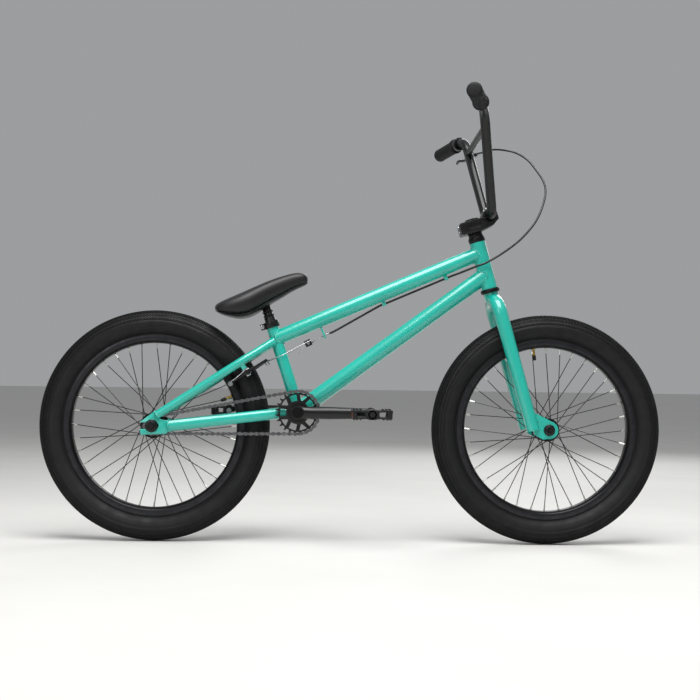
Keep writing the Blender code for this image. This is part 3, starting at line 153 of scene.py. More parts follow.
def newObject(name, data):
    thing = bpy.data.objects.new(name, data)
    bpy.context.scene.collection.objects.link(thing)
    return thing


def meshObject(name, fill):
    shape = bmesh.new()
    fill(shape)
    mesh = bpy.data.meshes.new(name)
    shape.to_mesh(mesh)
    shape.free()
    return newObject(name, mesh)


def bake(thing, angle=35):
    # modifiers and place go into the mesh, and round faces are smoothed
    bpy.context.view_layer.update()
    graph = bpy.context.evaluated_depsgraph_get()
    mesh = bpy.data.meshes.new_from_object(thing.evaluated_get(graph), depsgraph=graph)
    mesh.transform(thing.matrix_world)
    name = thing.name
    bpy.data.objects.remove(thing, do_unlink=True)
    mesh.shade_smooth()
    mesh.set_sharp_from_angle(angle=radians(angle))
    return newObject(name, mesh)


def closeMesh(thing, distance=0.000005):
    shape = bmesh.new()
    shape.from_mesh(thing.data)
    bmesh.ops.remove_doubles(shape, verts=shape.verts, dist=distance)
    bmesh.ops.recalc_face_normals(shape, faces=shape.faces)
    shape.to_mesh(thing.data)
    shape.free()
    return thing


def paint(thing, *materials):
    thing.data.materials.clear()
    for material in materials:
        thing.data.materials.append(material)
    return thing


def settle(thing, body, slot, *nodes):
    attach(thing, body)
    if nodes:
        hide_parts(*nodes)
    return thing


def addBevel(thing, width, segments=2, angle=38):
    bevel = thing.modifiers.new("edges", "BEVEL")
    bevel.width, bevel.segments = width, segments
    bevel.limit_method, bevel.angle_limit = "ANGLE", radians(angle)
    bevel.harden_normals = False


def fromCad(node, name, material, body, slot, bevel=0.0):
    # the CAD shape itself, welded, with smooth rounds and, where asked, broken edges
    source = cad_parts[node]
    thing = newObject(name, source.data.copy())
    closeMesh(thing, 0.00001)
    shape = bmesh.new()
    shape.from_mesh(thing.data)
    bmesh.ops.dissolve_limit(shape, angle_limit=radians(0.4), verts=shape.verts, edges=shape.edges)
    shape.to_mesh(thing.data)
    shape.free()
    if bevel:
        addBevel(thing, bevel)
    thing = paint(bake(thing), material)
    return settle(thing, body, slot, node)


def placed(centre, axis):
    return Matrix.Translation(centre) @ axis.to_track_quat("Z", "Y").to_matrix().to_4x4()


def turned(name, profile, centre, axis, steps=96, closed=True, angle=35):
    # profile points are (radius, height along the axis)
    mesh = bpy.data.meshes.new(name)
    count = len(profile)
    edges = [(i, (i + 1) % count) for i in range(count if closed else count - 1)]
    mesh.from_pydata([(r, 0, h) for r, h in profile], edges, [])
    thing = newObject(name, mesh)
    screw = thing.modifiers.new("turn", "SCREW")
    screw.steps = screw.render_steps = steps
    screw.use_merge_vertices, screw.merge_threshold = True, 0.00001
    thing.matrix_world = placed(centre, axis)
    return closeMesh(bake(thing, angle))


def swept(name, points, radius, resolution=5, scales=None):
    curve = bpy.data.curves.new(name, "CURVE")
    curve.dimensions = "3D"
    curve.bevel_depth, curve.bevel_resolution, curve.use_fill_caps = radius, resolution, True
    spline = curve.splines.new("POLY")
    spline.points.add(len(points) - 1)
    for index, point in enumerate(points):
        spline.points[index].co = (*point, 1)
        spline.points[index].radius = scales[index] if scales else 1
    return closeMesh(bake(newObject(name, curve)))


def plate(name, outlines, thickness, origin, across, upward, bevel=0.0):
    curve = bpy.data.curves.new(name, "CURVE")
    curve.dimensions, curve.fill_mode, curve.extrude = "2D", "BOTH", thickness / 2
    for outline in outlines:
        spline = curve.splines.new("POLY")
        spline.points.add(len(outline) - 1)
        for index, (u, v) in enumerate(outline):
            spline.points[index].co = (u, v, 0, 1)
        spline.use_cyclic_u = True
    thing = newObject(name, curve)
    turn = Matrix((across, upward, across.cross(upward))).transposed().to_4x4()
    thing.matrix_world = Matrix.Translation(origin) @ turn
    thing = closeMesh(bake(thing))
    if bevel:
        addBevel(thing, bevel)
        thing = bake(thing)
    return thing


def joined(name, things):
    # several meshes of one body and finish as one piece
    shape = bmesh.new()
    for thing in things:
        shape.from_mesh(thing.data)
    mesh = bpy.data.meshes.new(name)
    shape.to_mesh(mesh)
    shape.free()
    for thing in things:
        bpy.data.objects.remove(thing, do_unlink=True)
    mesh.shade_smooth()
    mesh.set_sharp_from_angle(angle=radians(35))
    return newObject(name, mesh)


def smoothPath(knots, spacing):
    dense = []
    padded = [knots[0] * 2 - knots[1], *knots, knots[-1] * 2 - knots[-2]]
    for index in range(1, len(padded) - 2):
        p0, p1, p2, p3 = padded[index - 1:index + 3]
        for step in range(16):
            t = step / 16
            dense.append(0.5 * (2 * p1 + (p2 - p0) * t + (2 * p0 - 5 * p1 + 4 * p2 - p3) * t * t
                                + (3 * p1 - p0 - 3 * p2 + p3) * t ** 3))
    dense.append(knots[-1])
    path, travelled = [dense[0]], 0.0
    for before, after in zip(dense, dense[1:]):
        travelled += (after - before).length
        if travelled >= spacing:
            path.append(after)
            travelled = 0.0
    return path + [dense[-1]]


# Geometry Nodes: shapes repeated round an axis, and shapes strung along a line
def newTree(name, *sockets):
    tree = bpy.data.node_groups.new(name, "GeometryNodeTree")
    tree.interface.new_socket("Geometry", in_out="INPUT", socket_type="NodeSocketGeometry")
    for label, kind in sockets:
        tree.interface.new_socket(label, in_out="INPUT", socket_type=kind)
    tree.interface.new_socket("Geometry", in_out="OUTPUT", socket_type="NodeSocketGeometry")
    return tree, addNode(tree, "NodeGroupInput").outputs


def closeTree(tree, instances, material):
    solid = addNode(tree, "GeometryNodeRealizeInstances", {"Geometry": instances})
    finished = addNode(tree, "GeometryNodeSetMaterial", {"Geometry": solid.outputs[0], "Material": material})
    addNode(tree, "NodeGroupOutput", {"Geometry": finished.outputs[0]})
    return tree


def makeRingTree():
    tree, given = newTree("repeatRoundAxis", ("Shape", "NodeSocketObject"), ("Count", "NodeSocketInt"),
                          ("Material", "NodeSocketMaterial"))
    points = addNode(tree, "GeometryNodePoints", {"Count": given["Count"]})
    index = addNode(tree, "GeometryNodeInputIndex")
    share = addNode(tree, "ShaderNodeMath", {0: index.outputs[0], 1: given["Count"]}, operation="DIVIDE")
    angle = addNode(tree, "ShaderNodeMath", {0: share.outputs[0], 1: 2 * pi}, operation="MULTIPLY")
    turn = addNode(tree, "ShaderNodeCombineXYZ", {"Y": angle.outputs[0]})
    shape = addNode(tree, "GeometryNodeObjectInfo", {"Object": given["Shape"]})
    copies = addNode(tree, "GeometryNodeInstanceOnPoints", {
        "Points": points.outputs[0], "Instance": shape.outputs["Geometry"], "Rotation": turn.outputs[0]})
    return closeTree(tree, copies.outputs[0], given["Material"])


def makePathTree():
    # even places take Shape and odd places take Other shape, each turned about Y to follow the line
    tree, given = newTree("stringAlongPath", ("Shape", "NodeSocketObject"),
                          ("Other shape", "NodeSocketObject"),
                          ("Count", "NodeSocketInt"), ("Flat path", "NodeSocketBool"),
                          ("Material", "NodeSocketMaterial"))
    line = addNode(tree, "GeometryNodeMeshToCurve", {"Mesh": given["Geometry"]})
    even = addNode(tree, "GeometryNodeResampleCurve", {"Curve": line.outputs[0], "Count": given["Count"]})
    tangent = addNode(tree, "GeometryNodeInputTangent")
    flat = addNode(tree, "FunctionNodeAlignRotationToVector", {"Vector": tangent.outputs[0]}, axis="X",
                   pivot_axis="Y")
    free = addNode(tree, "FunctionNodeAlignRotationToVector", {"Vector": tangent.outputs[0]}, axis="X")
    turn = addNode(tree, "GeometryNodeSwitch", {
        "Switch": given["Flat path"], "False": free.outputs[0], "True": flat.outputs[0]},
                   input_type="ROTATION")
    index = addNode(tree, "GeometryNodeInputIndex")
    odd = addNode(tree, "ShaderNodeMath", {0: index.outputs[0], 1: 2.0}, operation="MODULO")
    notOdd = addNode(tree, "ShaderNodeMath", {0: 1.0, 1: odd.outputs[0]}, operation="SUBTRACT")
    both = addNode(tree, "GeometryNodeJoinGeometry")
    for label, pick in (("Shape", notOdd), ("Other shape", odd)):
        shape = addNode(tree, "GeometryNodeObjectInfo", {"Object": given[label]})
        copies = addNode(tree, "GeometryNodeInstanceOnPoints", {
            "Points": even.outputs[0], "Selection": pick.outputs[0],
            "Instance": shape.outputs["Geometry"], "Rotation": turn.outputs[0]})
        tree.links.new(copies.outputs[0], both.inputs[0])
    return closeTree(tree, both.outputs[0], given["Material"])


ringTree, pathTree = makeRingTree(), makePathTree()


def grow(name, tree, host, values, place=None, angle=35):
    nodes = host.modifiers.new("repeat", "NODES")
    nodes.node_group = tree
    for item in tree.interface.items_tree:
        if item.in_out == "INPUT" and item.name in values:
            nodes[item.identifier] = values[item.name]
    if place:
        host.matrix_world = place
    thing = bake(host, angle)
    thing.name = name
    return thing


def ringOf(name, shape, count, material, centre):
    host = newObject(name, bpy.data.meshes.new(name))
    thing = grow(name, ringTree, host, {"Shape": shape, "Count": count, "Material": material},
                 Matrix.Translation(centre))
    bpy.data.objects.remove(shape, do_unlink=True)
    return thing


def alongPath(name, points, shapes, count, material, flat=False):
    mesh = bpy.data.meshes.new(name)
    mesh.from_pydata(points, [(i, (i + 1) % len(points)) for i in range(len(points))], [])
    thing = grow(name, pathTree, newObject(name, mesh), {
        "Shape": shapes[0], "Other shape": shapes[-1], "Count": count, "Flat path": flat,
        "Material": material})
    for shape in shapes:
        bpy.data.objects.remove(shape, do_unlink=True)
    return thing


def addRod(shape, start, end, radius, segments=8, endRadius=None):
    along = end - start
    bmesh.ops.create_cone(
        shape, cap_ends=True, segments=segments, radius1=radius,
        radius2=radius if endRadius is None else endRadius,
        depth=along.length, matrix=placed((start + end) / 2, along))


# where things are
headCentre = Vector((0.3049, 0, 0.6441))
steerUp, steerForward = Vector((-0.26455, 0, 0.96437)), Vector((0.96437, 0, 0.26455))
seatFoot, seatUp = Vector((-0.120, 0, 0.2985)), Vector((-0.31134, 0, 0.9503))
bottomBracket = Vector((-0.122, 0, 0.2985))
rearAxle, frontAxle = Vector((-0.452, 0, 0.265)), Vector((0.452, 0, 0.265))
topLine = (Vector((-0.1137, 0, 0.4953)), Vector((cos(radians(23.43)), 0, sin(radians(23.43)))))
downLine = (Vector((-0.0443, 0, 0.3594)), Vector((cos(radians(36.6)), 0, sin(radians(36.6)))))
stayLine = (Vector((-0.4186, 0, 0.3042)), Vector((cos(radians(33.3)), 0, sin(radians(33.3)))))
stayNormal = Vector((stayLine[1].z, 0, -stayLine[1].x))


def steer(up, forward, y=0.0):
    return headCentre + steerUp * up + steerForward * forward + yAxis * y


def stayAt(line, x, y):
    return line[0] + line[1] * ((x - line[0].x) / line[1].x) + yAxis * y


def brakeAt(along, down, y):
    return stayAt(stayLine, -0.2548, 0) + stayLine[1] * along + stayNormal * down + yAxis * y


# bolts: a domed head with a hexagon socket
boltSizes = {"socketShare": 0.55, "socketDepth": 0.6}


def addBolt(shape, centre, axis, radius, height):
    axis = axis.normalized()
    socket, floor = radius * boltSizes["socketShare"], height * (1 - boltSizes["socketDepth"])
    rings = [(radius, 0, 18), (radius, height * 0.75, 18), (radius * 0.86, height, 18)]
    matrix = placed(centre, axis)
    loops = []
    for r, h, count in rings:
        loops.append([shape.verts.new(matrix @ Vector((r * cos(2 * pi * i / count),
                                                       r * sin(2 * pi * i / count), h)))
                      for i in range(count)])
    for r, h in ((socket, height), (socket, floor)):
        loop = []
        for i in range(18):
            a = 2 * pi * i / 18
            flat = cos(pi / 6) / cos((a % (pi / 3)) - pi / 6)  # hexagon
            loop.append(shape.verts.new(matrix @ Vector((r * flat * cos(a), r * flat * sin(a), h))))
        loops.append(loop)
    for low, high in zip(loops, loops[1:]):
        for i in range(18):
            n = (i + 1) % 18
            shape.faces.new((low[i], low[n], high[n], high[i]))
    shape.faces.new(loops[0][::-1])
    shape.faces.new(loops[-1])


def bolts(name, body, places):
    def fill(shape):
        for centre, axis, radius, height in places:
            addBolt(shape, centre, axis, radius, height)
    settle(paint(bake(meshObject(name, fill)), zincSteel), body, "bright_steel")


# painted frame
for node in ("chain_stay_right", "chain_stay_left", "seat_stay_right", "seat_stay_left"):
    fromCad(node, node + "_painted", tealEnamel, "frame", "teal_paint")
for side in sides:
    fromCad(f"rear_dropout_{side}", f"rear_dropout_{side}_painted", tealEnamel, "frame", "teal_paint", 0.0006)
    fromCad(f"bottom_bracket_bearing_{side}", f"bottom_bracket_cover_{side}", blackCoat, "frame",
            "black_metal")


# weld beads: overlapping puddles strung along the line where two round tubes meet
weld = {"puddle": 0.0019, "pitch": 0.0021}


def meetingLine(tube, tubeRadius, other, otherRadius, towards, count=72):
    # points of the tube's skin where it runs into the other tube
    (point, along), (otherPoint, otherAlong) = tube, other
    square = along.cross(yAxis).normalized()
    path = []
    for i in range(count):
        a = 2 * pi * i / count
        start = point + (square * cos(a) + yAxis * sin(a)) * tubeRadius
        offset = start - otherPoint
        flatOffset = offset - otherAlong * offset.dot(otherAlong)
        flatAlong = along - otherAlong * along.dot(otherAlong)
        qa, qb = flatAlong.dot(flatAlong), 2 * flatOffset.dot(flatAlong)
        qc = flatOffset.dot(flatOffset) - otherRadius ** 2
        root = sqrt(max(qb * qb - 4 * qa * qc, 0))
        path.append(start + along * ((-qb + towards * root) / (2 * qa)))
    return path


def hoseBetween(name, loops, steps=40):
    # skin between two closed loops of equal count, with flat ends that lie inside the neighbouring tubes
    def fill(shape):
        rings = []
        for low, high in zip(loops, loops[1:]):
            for step in range(steps):
                rings.append([shape.verts.new(a.lerp(b, step / steps)) for a, b in zip(low, high)])
        rings.append([shape.verts.new(point) for point in loops[-1]])
        count = len(loops[0])
        for before, after in zip(rings, rings[1:]):
            for i in range(count):
                n = (i + 1) % count
                shape.faces.new((before[i], before[n], after[n], after[i]))
        for ring in (rings[0][::-1], rings[-1]):
            middle = shape.verts.new(sum((v.co for v in ring), Vector()) / count)
            for i in range(count):
                shape.faces.new((ring[i], ring[(i + 1) % count], middle))
        bmesh.ops.recalc_face_normals(shape, faces=shape.faces)
    return bake(meshObject(name, fill), 40)


def topTubeBelow(x, drop):
    point, along = topLine
    return point + along * ((x - point.x) / along.x) + Vector((along.z, 0, -along.x)) * drop


tubes = {"top": 0.01745, "down": 0.01905, "head": 0.0183, "seat": 0.0143, "shell": 0.0240, "headHalf": 0.0560,
         "shellHalf": 0.0365, "seatTop": 0.4985}
cable = {"housing": 0.0025, "wire": 0.0010, "guideDrop": 0.02345, "stopDrop": 0.0365, "stopX": -0.0785,
         "guidesX": (0.2084, 0.0647)}
headLine, seatLine, shellLine = (headCentre, steerUp), (seatFoot, seatUp), (bottomBracket, yAxis)
topTube = hoseBetween("top_tube_painted", [
    meetingLine(topLine, tubes["top"], seatLine, tubes["seat"] - 0.0012, 1),
    meetingLine(topLine, tubes["top"], headLine, tubes["head"] - 0.0012, -1)])
settle(paint(topTube, tealEnamel), "frame", "teal_paint", "top_tube")
downTube = hoseBetween("down_tube_painted", [
    meetingLine(downLine, tubes["down"], shellLine, tubes["shell"] - 0.0012, 1),
    meetingLine(downLine, tubes["down"], headLine, tubes["head"] - 0.0012, -1)])
settle(paint(downTube, tealEnamel), "frame", "teal_paint", "down_tube")


def ringAbout(line, distance, radius, count=72):
    # matches the order of points that meetingLine gives
    point, along = line
    square = along.cross(yAxis).normalized()
    turns = [2 * pi * i / count for i in range(count)]
    return [point + along * distance + (square * cos(a) + yAxis * sin(a)) * radius for a in turns]


seatLength = (tubes["seatTop"] - seatFoot.z) / seatUp.z
seatTube = hoseBetween("seat_tube_painted", [
    meetingLine(seatLine, tubes["seat"], shellLine, tubes["shell"] - 0.0012, 1),
    ringAbout(seatLine, seatLength - 0.0004, tubes["seat"]),
    ringAbout(seatLine, seatLength, tubes["seat"] - 0.0004),
    ringAbout(seatLine, seatLength, 0.0131), ringAbout(seatLine, seatLength - 0.1250, 0.0131)], 12)
settle(paint(seatTube, tealEnamel), "frame", "teal_paint", "seat_tube")
headHalf = tubes["headHalf"]
headTube = turned("head_tube_painted", [
    (0.0160, -headHalf), (tubes["head"] - 0.0004, -headHalf), (tubes["head"], -headHalf + 0.0004),
    (tubes["head"], headHalf - 0.0004), (tubes["head"] - 0.0004, headHalf), (0.0160, headHalf)], headCentre,
                  steerUp, 72)
settle(paint(headTube, tealEnamel), "frame", "teal_paint", "head_tube")
shellHalf = tubes["shellHalf"]
shellTube = turned("bottom_bracket_painted", [
    (0.0206, -shellHalf), (tubes["shell"] - 0.0005, -shellHalf), (tubes["shell"], -shellHalf + 0.0005),
    (tubes["shell"], shellHalf - 0.0005), (tubes["shell"] - 0.0005, shellHalf), (0.0206, shellHalf)],
    bottomBracket, yAxis, 72)
settle(paint(shellTube, tealEnamel), "frame", "teal_paint", "bottom_bracket_shell")

# cable guides and stop: small plates with a round hole, welded under the top tube
topAcross = Vector((topLine[1].z, 0, -topLine[1].x))
for index, x in enumerate(cable["guidesX"]):
    outline = [(-0.0045, -0.0100), (0.0045, -0.0100), (0.0045, 0.0025), (0.0030, 0.0046), (-0.0030, 0.0046),
               (-0.0045, 0.0025)]
    hole = [(0.0031 * cos(2 * pi * i / 20), 0.0031 * sin(2 * pi * i / 20)) for i in range(20)]
    guide = plate(f"cable_guide_{index + 1}", [outline, hole], 0.0088, topTubeBelow(x, cable["guideDrop"]),
                  yAxis,
                  topAcross, 0.0005)
    settle(paint(guide, tealEnamel), "frame", "teal_paint")
outline = [(-0.0065, -0.0245), (0.0065, -0.0245), (0.0065, 0.0050), (0.0045, 0.0078), (-0.0045, 0.0078),
           (-0.0065, 0.0050)]
hole = [(0.0017 * cos(2 * pi * i / 16), 0.0017 * sin(2 * pi * i / 16)) for i in range(16)]
stopTab = plate("cable_stop_tab", [outline, hole], 0.0048, topTubeBelow(cable["stopX"], cable["stopDrop"]),
                yAxis,
                topAcross, 0.0005)
settle(paint(stopTab, tealEnamel), "frame", "teal_paint")
print("frame tubes done")


def weldBead(name, path):
    length = sum((b - a).length for a, b in zip(path, path[1:] + path[:1]))

    def puddle(shape):
        bmesh.ops.create_uvsphere(shape, u_segments=8, v_segments=6, radius=weld["puddle"],
                                  matrix=Matrix.Diagonal((0.95, 1.0, 1.0, 1)))
    bead = alongPath(name, path, [meshObject("puddle", puddle)], round(length / weld["pitch"]), tealEnamel)
    settle(bead, "frame", "teal_paint")


for name, line, tube, otherLine, otherTube, towards in (
    ("weld_top_tube_head", topLine, "top", headLine, "head", -1),
    ("weld_down_tube_head", downLine, "down", headLine, "head", -1),
    ("weld_top_tube_seat", topLine, "top", seatLine, "seat", 1),
    ("weld_down_tube_shell", downLine, "down", shellLine, "shell", 1),
    ("weld_seat_tube_shell", seatLine, "seat", shellLine, "shell", 1),
):
    weldBead(name, meetingLine(line, tubes[tube], otherLine, tubes[otherTube], towards))
for side, sign in sides.items():
    for lineName, place, direction, radii in (
        ("seat_stay", stayAt(stayLine, -0.4405, 0.058 * sign), stayLine[1], (0.0097, 0.0097)),
        ("chain_stay", Vector((-0.4140, 0.058 * sign, 0.2652)),
         Vector((cos(radians(7)), 0, sin(radians(7)))), (0.0127, 0.0100)),
    ):
        square = Vector((-direction.z, 0, direction.x))
        ring = [place + square * (radii[0] * cos(2 * pi * i / 40)) + yAxis * (radii[1] * sin(2 * pi * i / 40))
                for i in range(40)]
        weldBead(f"weld_{lineName}_{side}", ring)
print("welds done")


# wheels
tyre = {"sectionCentre": 0.235, "radius": 0.0300, "knurl": 0.0014, "treadEdge": 74, "slices": 230,
        "steps": 160}
rim = {"inner": 0.1890, "halfWidth": 0.0170}
spoke = {"count": 36, "radius": 0.0010, "nippleRadius": 0.0021, "nippleLength": 0.0125}
hubs = {
    "front": {"centre": frontAxle, "flange": 0.0270, "flangeY": 0.0340, "barrel": 0.0135, "end": 0.0470,
              "bore": 0.0051,
              "valve": 99.0},
    "rear": {"centre": rearAxle, "flange": 0.0290, "flangeY": 0.0330, "barrel": 0.0160, "end": 0.0385,
             "bore": 0.0074,
             "valve": 21.0},
}


def tyreProfile():
    # the casing lies a little inside the tread and the raised lines of the sidewall
    ridges = {82: 0.0004, 86: 0.0004, 106: -0.0004, 110: -0.0004, 126: -0.0002, 130: -0.0002}
    outer = []
    for step in range(149):
        degrees = 148 - 2 * step
        radius = tyre["radius"]
        if abs(degrees) < tyre["treadEdge"]:
            radius -= tyre["knurl"]
        elif abs(degrees) < 80:
            radius -= 0.0018
        else:
            radius -= 0.0012
            radius += ridges.get(abs(degrees), -0.0002) + 0.0002
        a = radians(degrees)
        outer.append((tyre["sectionCentre"] + radius * cos(a), radius * sin(a)))
    inner = []
    for step in range(15):
        a = radians(-140 + 20 * step)
        inner.append((tyre["sectionCentre"] + 0.0258 * cos(a), 0.0258 * sin(a)))
    return outer + [(0.2032, -0.0140), (0.2032, -0.0110)] + inner + [(0.2032, 0.0110), (0.2032, 0.0140)]


def treadSlice(shape):
    # one slanted row of knurls across the crown, split into bands by three grooves on each side
    pitch = 2 * pi / tyre["slices"]
    degrees, row = -71.0, 0
    while degrees < 72:
        if not any(abs(abs(degrees) - groove) < 2.6 for groove in (22, 42, 60)):
            a = radians(degrees)
            slip = pitch * (0.25 if row % 2 else -0.25)
            corners = []
            for depth, reach in ((-0.0010, 1.0), (tyre["knurl"], 0.60)):
                for across, turnwise in ((-1, -1), (1, -1), (1, 1), (-1, 1)):
                    b = a + across * radians(2.3) * reach
                    r = tyre["radius"] - tyre["knurl"] + depth
                    turn = slip + (turnwise + across * 0.25) * pitch * 0.40 * reach
                    out = tyre["sectionCentre"] + r * cos(b)
                    corners.append(shape.verts.new((out * cos(turn), r * sin(b), out * sin(turn))))
            for i in range(4):
                n = (i + 1) % 4
                shape.faces.new((corners[i], corners[n], corners[4 + n], corners[4 + i]))
            shape.faces.new(corners[4:])
            shape.faces.new(corners[3::-1])
        degrees += 5.05
        row += 1
    bmesh.ops.recalc_face_normals(shape, faces=shape.faces)


def rimProfile():
    half = [(0.1890, 0.0), (0.1890, 0.0085), (0.1897, 0.0108), (0.1925, 0.0145), (0.1942, 0.0163),
            (0.1958, 0.0170),
            (0.2070, 0.0170), (0.2083, 0.0164), (0.2087, 0.0156), (0.2078, 0.0148), (0.2030, 0.0150),
            (0.1992, 0.0146),
            (0.1985, 0.0)]
    return half + [(r, -y) for r, y in half[-2:0:-1]]


def spokeEnds(hub, index):
    flange = 1 if index % 2 else -1
    turn = 1 if (index // 2) % 2 else -1
    tipAngle = 2 * pi * index / spoke["count"]
    rootAngle = tipAngle + turn * (radians(60) - pi / spoke["count"])
    holeRadius = hub["flange"] - 0.0035
    root = Vector((holeRadius * cos(rootAngle), hub["flangeY"] * flange + turn * 0.0024,
                   holeRadius * sin(rootAngle)))
    tip = Vector((rim["inner"] * cos(tipAngle), 0.0035 * flange + turn * 0.0004,
                  rim["inner"] * sin(tipAngle)))
    return root, tip, turn


def makeWheel(which, hub):
    body, centre = f"{which}_wheel", hub["centre"]
    carcass = paint(turned(f"{which}_tyre_carcass", tyreProfile(), centre, yAxis, tyre["steps"], angle=20),
                    tyreRubber)
    settle(carcass, body, "tyre_rubber", f"{which}_tyre")
    tread = ringOf(f"{which}_tyre_tread", meshObject("slice", treadSlice), tyre["slices"], tyreRubber, centre)
    settle(tread, body, "tyre_rubber")

    hoop = turned(f"{which}_rim_hoop", rimProfile(), centre, yAxis, 144)
    paint(hoop, blackAnodised, rimTrack)
    for face in hoop.data.polygons:
        offset = face.center - centre
        if abs(offset.y) > rim["halfWidth"] - 0.00005:
            face.material_index = 1
    settle(hoop, body, "black_metal", f"{which}_rim")

    def group(drawSpoke):
        def fill(shape):
            for index in range(4):
                drawSpoke(shape, *spokeEnds(hub, index))
        return meshObject("group", fill)

    def drawBar(shape, root, tip, turn):
        addRod(shape, root, tip, spoke["radius"], 8)
        # elbow and head through the flange
        addRod(shape, root, root - yAxis * (turn * 0.0052), spoke["radius"], 8)
        addRod(shape, root - yAxis * (turn * 0.0050), root - yAxis * (turn * 0.0060), 0.0018, 8)

    def drawNipple(shape, root, tip, _):
        along = (tip - root).normalized()
        addRod(shape, tip - along * spoke["nippleLength"], tip, spoke["nippleRadius"] * 0.8, 8,
               spoke["nippleRadius"])

    bars = ringOf(f"{which}_spokes", group(drawBar), spoke["count"] // 4, blackCoat, centre)
    settle(bars, body, "black_metal")
    nipples = ringOf(f"{which}_spoke_nipples", group(drawNipple), spoke["count"] // 4, nickel, centre)
    settle(nipples, body, "bright_steel")

    flange, y, barrel, end, bore = hub["flange"], hub["flangeY"], hub["barrel"], hub["end"], hub["bore"]
    half = [
        (bore, end), (0.0100, end), (0.0108, end - 0.0008), (0.0125, (y + end) / 2 + 0.001),
        (barrel, y + 0.0026),
        (flange - 0.0095, y + 0.0018), (flange - 0.0004, y + 0.0015), (flange, y + 0.0010),
        (flange, y - 0.0010),
        (flange - 0.0004, y - 0.0015), (flange - 0.0090, y - 0.0019), (barrel + 0.0012, y - 0.0040),
        (barrel, y - 0.0075), (barrel - 0.0008, 0.0),
    ]
    shell = turned(f"{which}_hub_shell", half + [(r, -h) for r, h in half[-2::-1]], centre, yAxis, 64,
                   angle=30)
    settle(paint(shell, blackAnodised), body, "black_metal", f"{which}_hub_with_spokes")

    a = radians(hub["valve"])
    outward = Vector((cos(a), 0, sin(a)))

    def valveStem(shape):
        addRod(shape, centre + outward * 0.1905, centre + outward * 0.1730, 0.0033, 14)
        addRod(shape, centre + outward * 0.1892, centre + outward * 0.1868, 0.0058, 6)

    def valveCap(shape):
        addRod(shape, centre + outward * 0.1740, centre + outward * 0.1620, 0.0042, 16, 0.0036)

    settle(paint(bake(meshObject(f"{which}_valve_stem", valveStem)), brass), body, "bright_steel")
    settle(paint(bake(meshObject(f"{which}_valve_cap", valveCap)), nylon), body, "black_plastic")


for which, hub in hubs.items():
    makeWheel(which, hub)
    print(which, "wheel done")

axleFaces = {"front": (0.0563, 0.0100, 0.0132), "rear": (0.0613, 0.0114, 0.0148)}  # dropout face, hole, edge


def arc(radius, middle, half, count, back=False):
    angles = [middle - half + 2 * half * i / (count - 1) for i in range(count)]
    points = [(radius * cos(a), radius * sin(a)) for a in angles]
    return points[::-1] if back else points


for which, body in (("front", "steering"), ("rear", "frame")):
    fromCad(f"{which}_axle", f"{which}_axle_rod", blackCoat, body, "black_metal")
    for side, sign in sides.items():
        fromCad(f"{which}_axle_nut_{side}", f"{which}_flange_nut_{side}", blackCoat, body, "black_metal",
                0.0005)
        # knurled washer under the nut's hexagon
        face, bore, edge = axleFaces[which]
        teeth = [(edge * (1 if i % 2 else 0.95) * cos(2 * pi * i / 72),
                  edge * (1 if i % 2 else 0.95) * sin(2 * pi * i / 72))
                 for i in range(72)]
        washer = plate(f"{which}_washer_{side}", [teeth, arc(bore, 0, pi * 0.97, 24)], 0.0012,
                       hubs[which]["centre"] + yAxis * ((face + 0.0008) * sign), xAxis, zAxis)
        settle(paint(washer, blackAnodised), body, "black_metal")


# drive: chain, sprocket, driver, cranks
drive = {"pitch": 0.0127, "sprocketTeeth": 24, "driverTeeth": 9, "lineY": -0.0430, "links": 70,
         "outerPlateY": 0.0037, "innerPlateY": 0.0026, "plate": 0.0010, "plateHalfHeight": 0.0042}


def pitchRadius(teeth):
    return drive["pitch"] / (2 * sin(pi / teeth))


def chainPath(count=260):
    big, small = pitchRadius(drive["sprocketTeeth"]), pitchRadius(drive["driverTeeth"])
    span = bottomBracket - rearAxle
    heading = atan2(span.z, span.x)
    lean = asin((big - small) / span.length)
    path = []
    for centre, radius, start, sweep in (
        (bottomBracket, big, heading - pi / 2 - lean, pi + 2 * lean),
        (rearAxle, small, heading + pi / 2 + lean, pi - 2 * lean),
    ):
        for i in range(count // 4 + 1):
            a = start + sweep * i / (count // 4)
            path.append(centre + Vector((radius * cos(a), drive["lineY"], radius * sin(a))))
    return path


def linkOutline(half, waist):
    points = []
    for i in range(9):
        a = -pi / 2 + pi * i / 8
        points.append((drive["pitch"] / 2 + half * cos(a), half * sin(a)))
    points.append((0, waist))
    for i in range(9):
        a = pi / 2 + pi * i / 8
        points.append((-drive["pitch"] / 2 + half * cos(a), half * sin(a)))
    points.append((0, -waist))
    return points


def chainLink(shape, plateY, pins):
    outline = linkOutline(drive["plateHalfHeight"], drive["plateHalfHeight"] * 0.55)
    for sign in (-1, 1):
        low, high = plateY - drive["plate"] / 2, plateY + drive["plate"] / 2
        faces = [[shape.verts.new((x, sign * y, z)) for x, z in outline] for y in (low, high)]
        count = len(outline)
        for i in range(count):
            n = (i + 1) % count
            shape.faces.new((faces[0][i], faces[0][n], faces[1][n], faces[1][i]))
        shape.faces.new(faces[0])
        shape.faces.new(faces[1][::-1])
    for end in (-1, 1):
        x = end * drive["pitch"] / 2
        reach, radius = (0.0049, 0.0018) if pins else (0.0024, 0.0038)
        addRod(shape, Vector((x, -reach, 0)), Vector((x, reach, 0)), radius, 10)
    bmesh.ops.recalc_face_normals(shape, faces=shape.faces)


outerLink = meshObject("outer_link", lambda shape: chainLink(shape, drive["outerPlateY"], True))
innerLink = meshObject("inner_link", lambda shape: chainLink(shape, drive["innerPlateY"], False))
chain = alongPath("drive_chain", chainPath(), [outerLink, innerLink], drive["links"], chainSteel, flat=True)
settle(chain, "frame", "chain_steel", "chain")


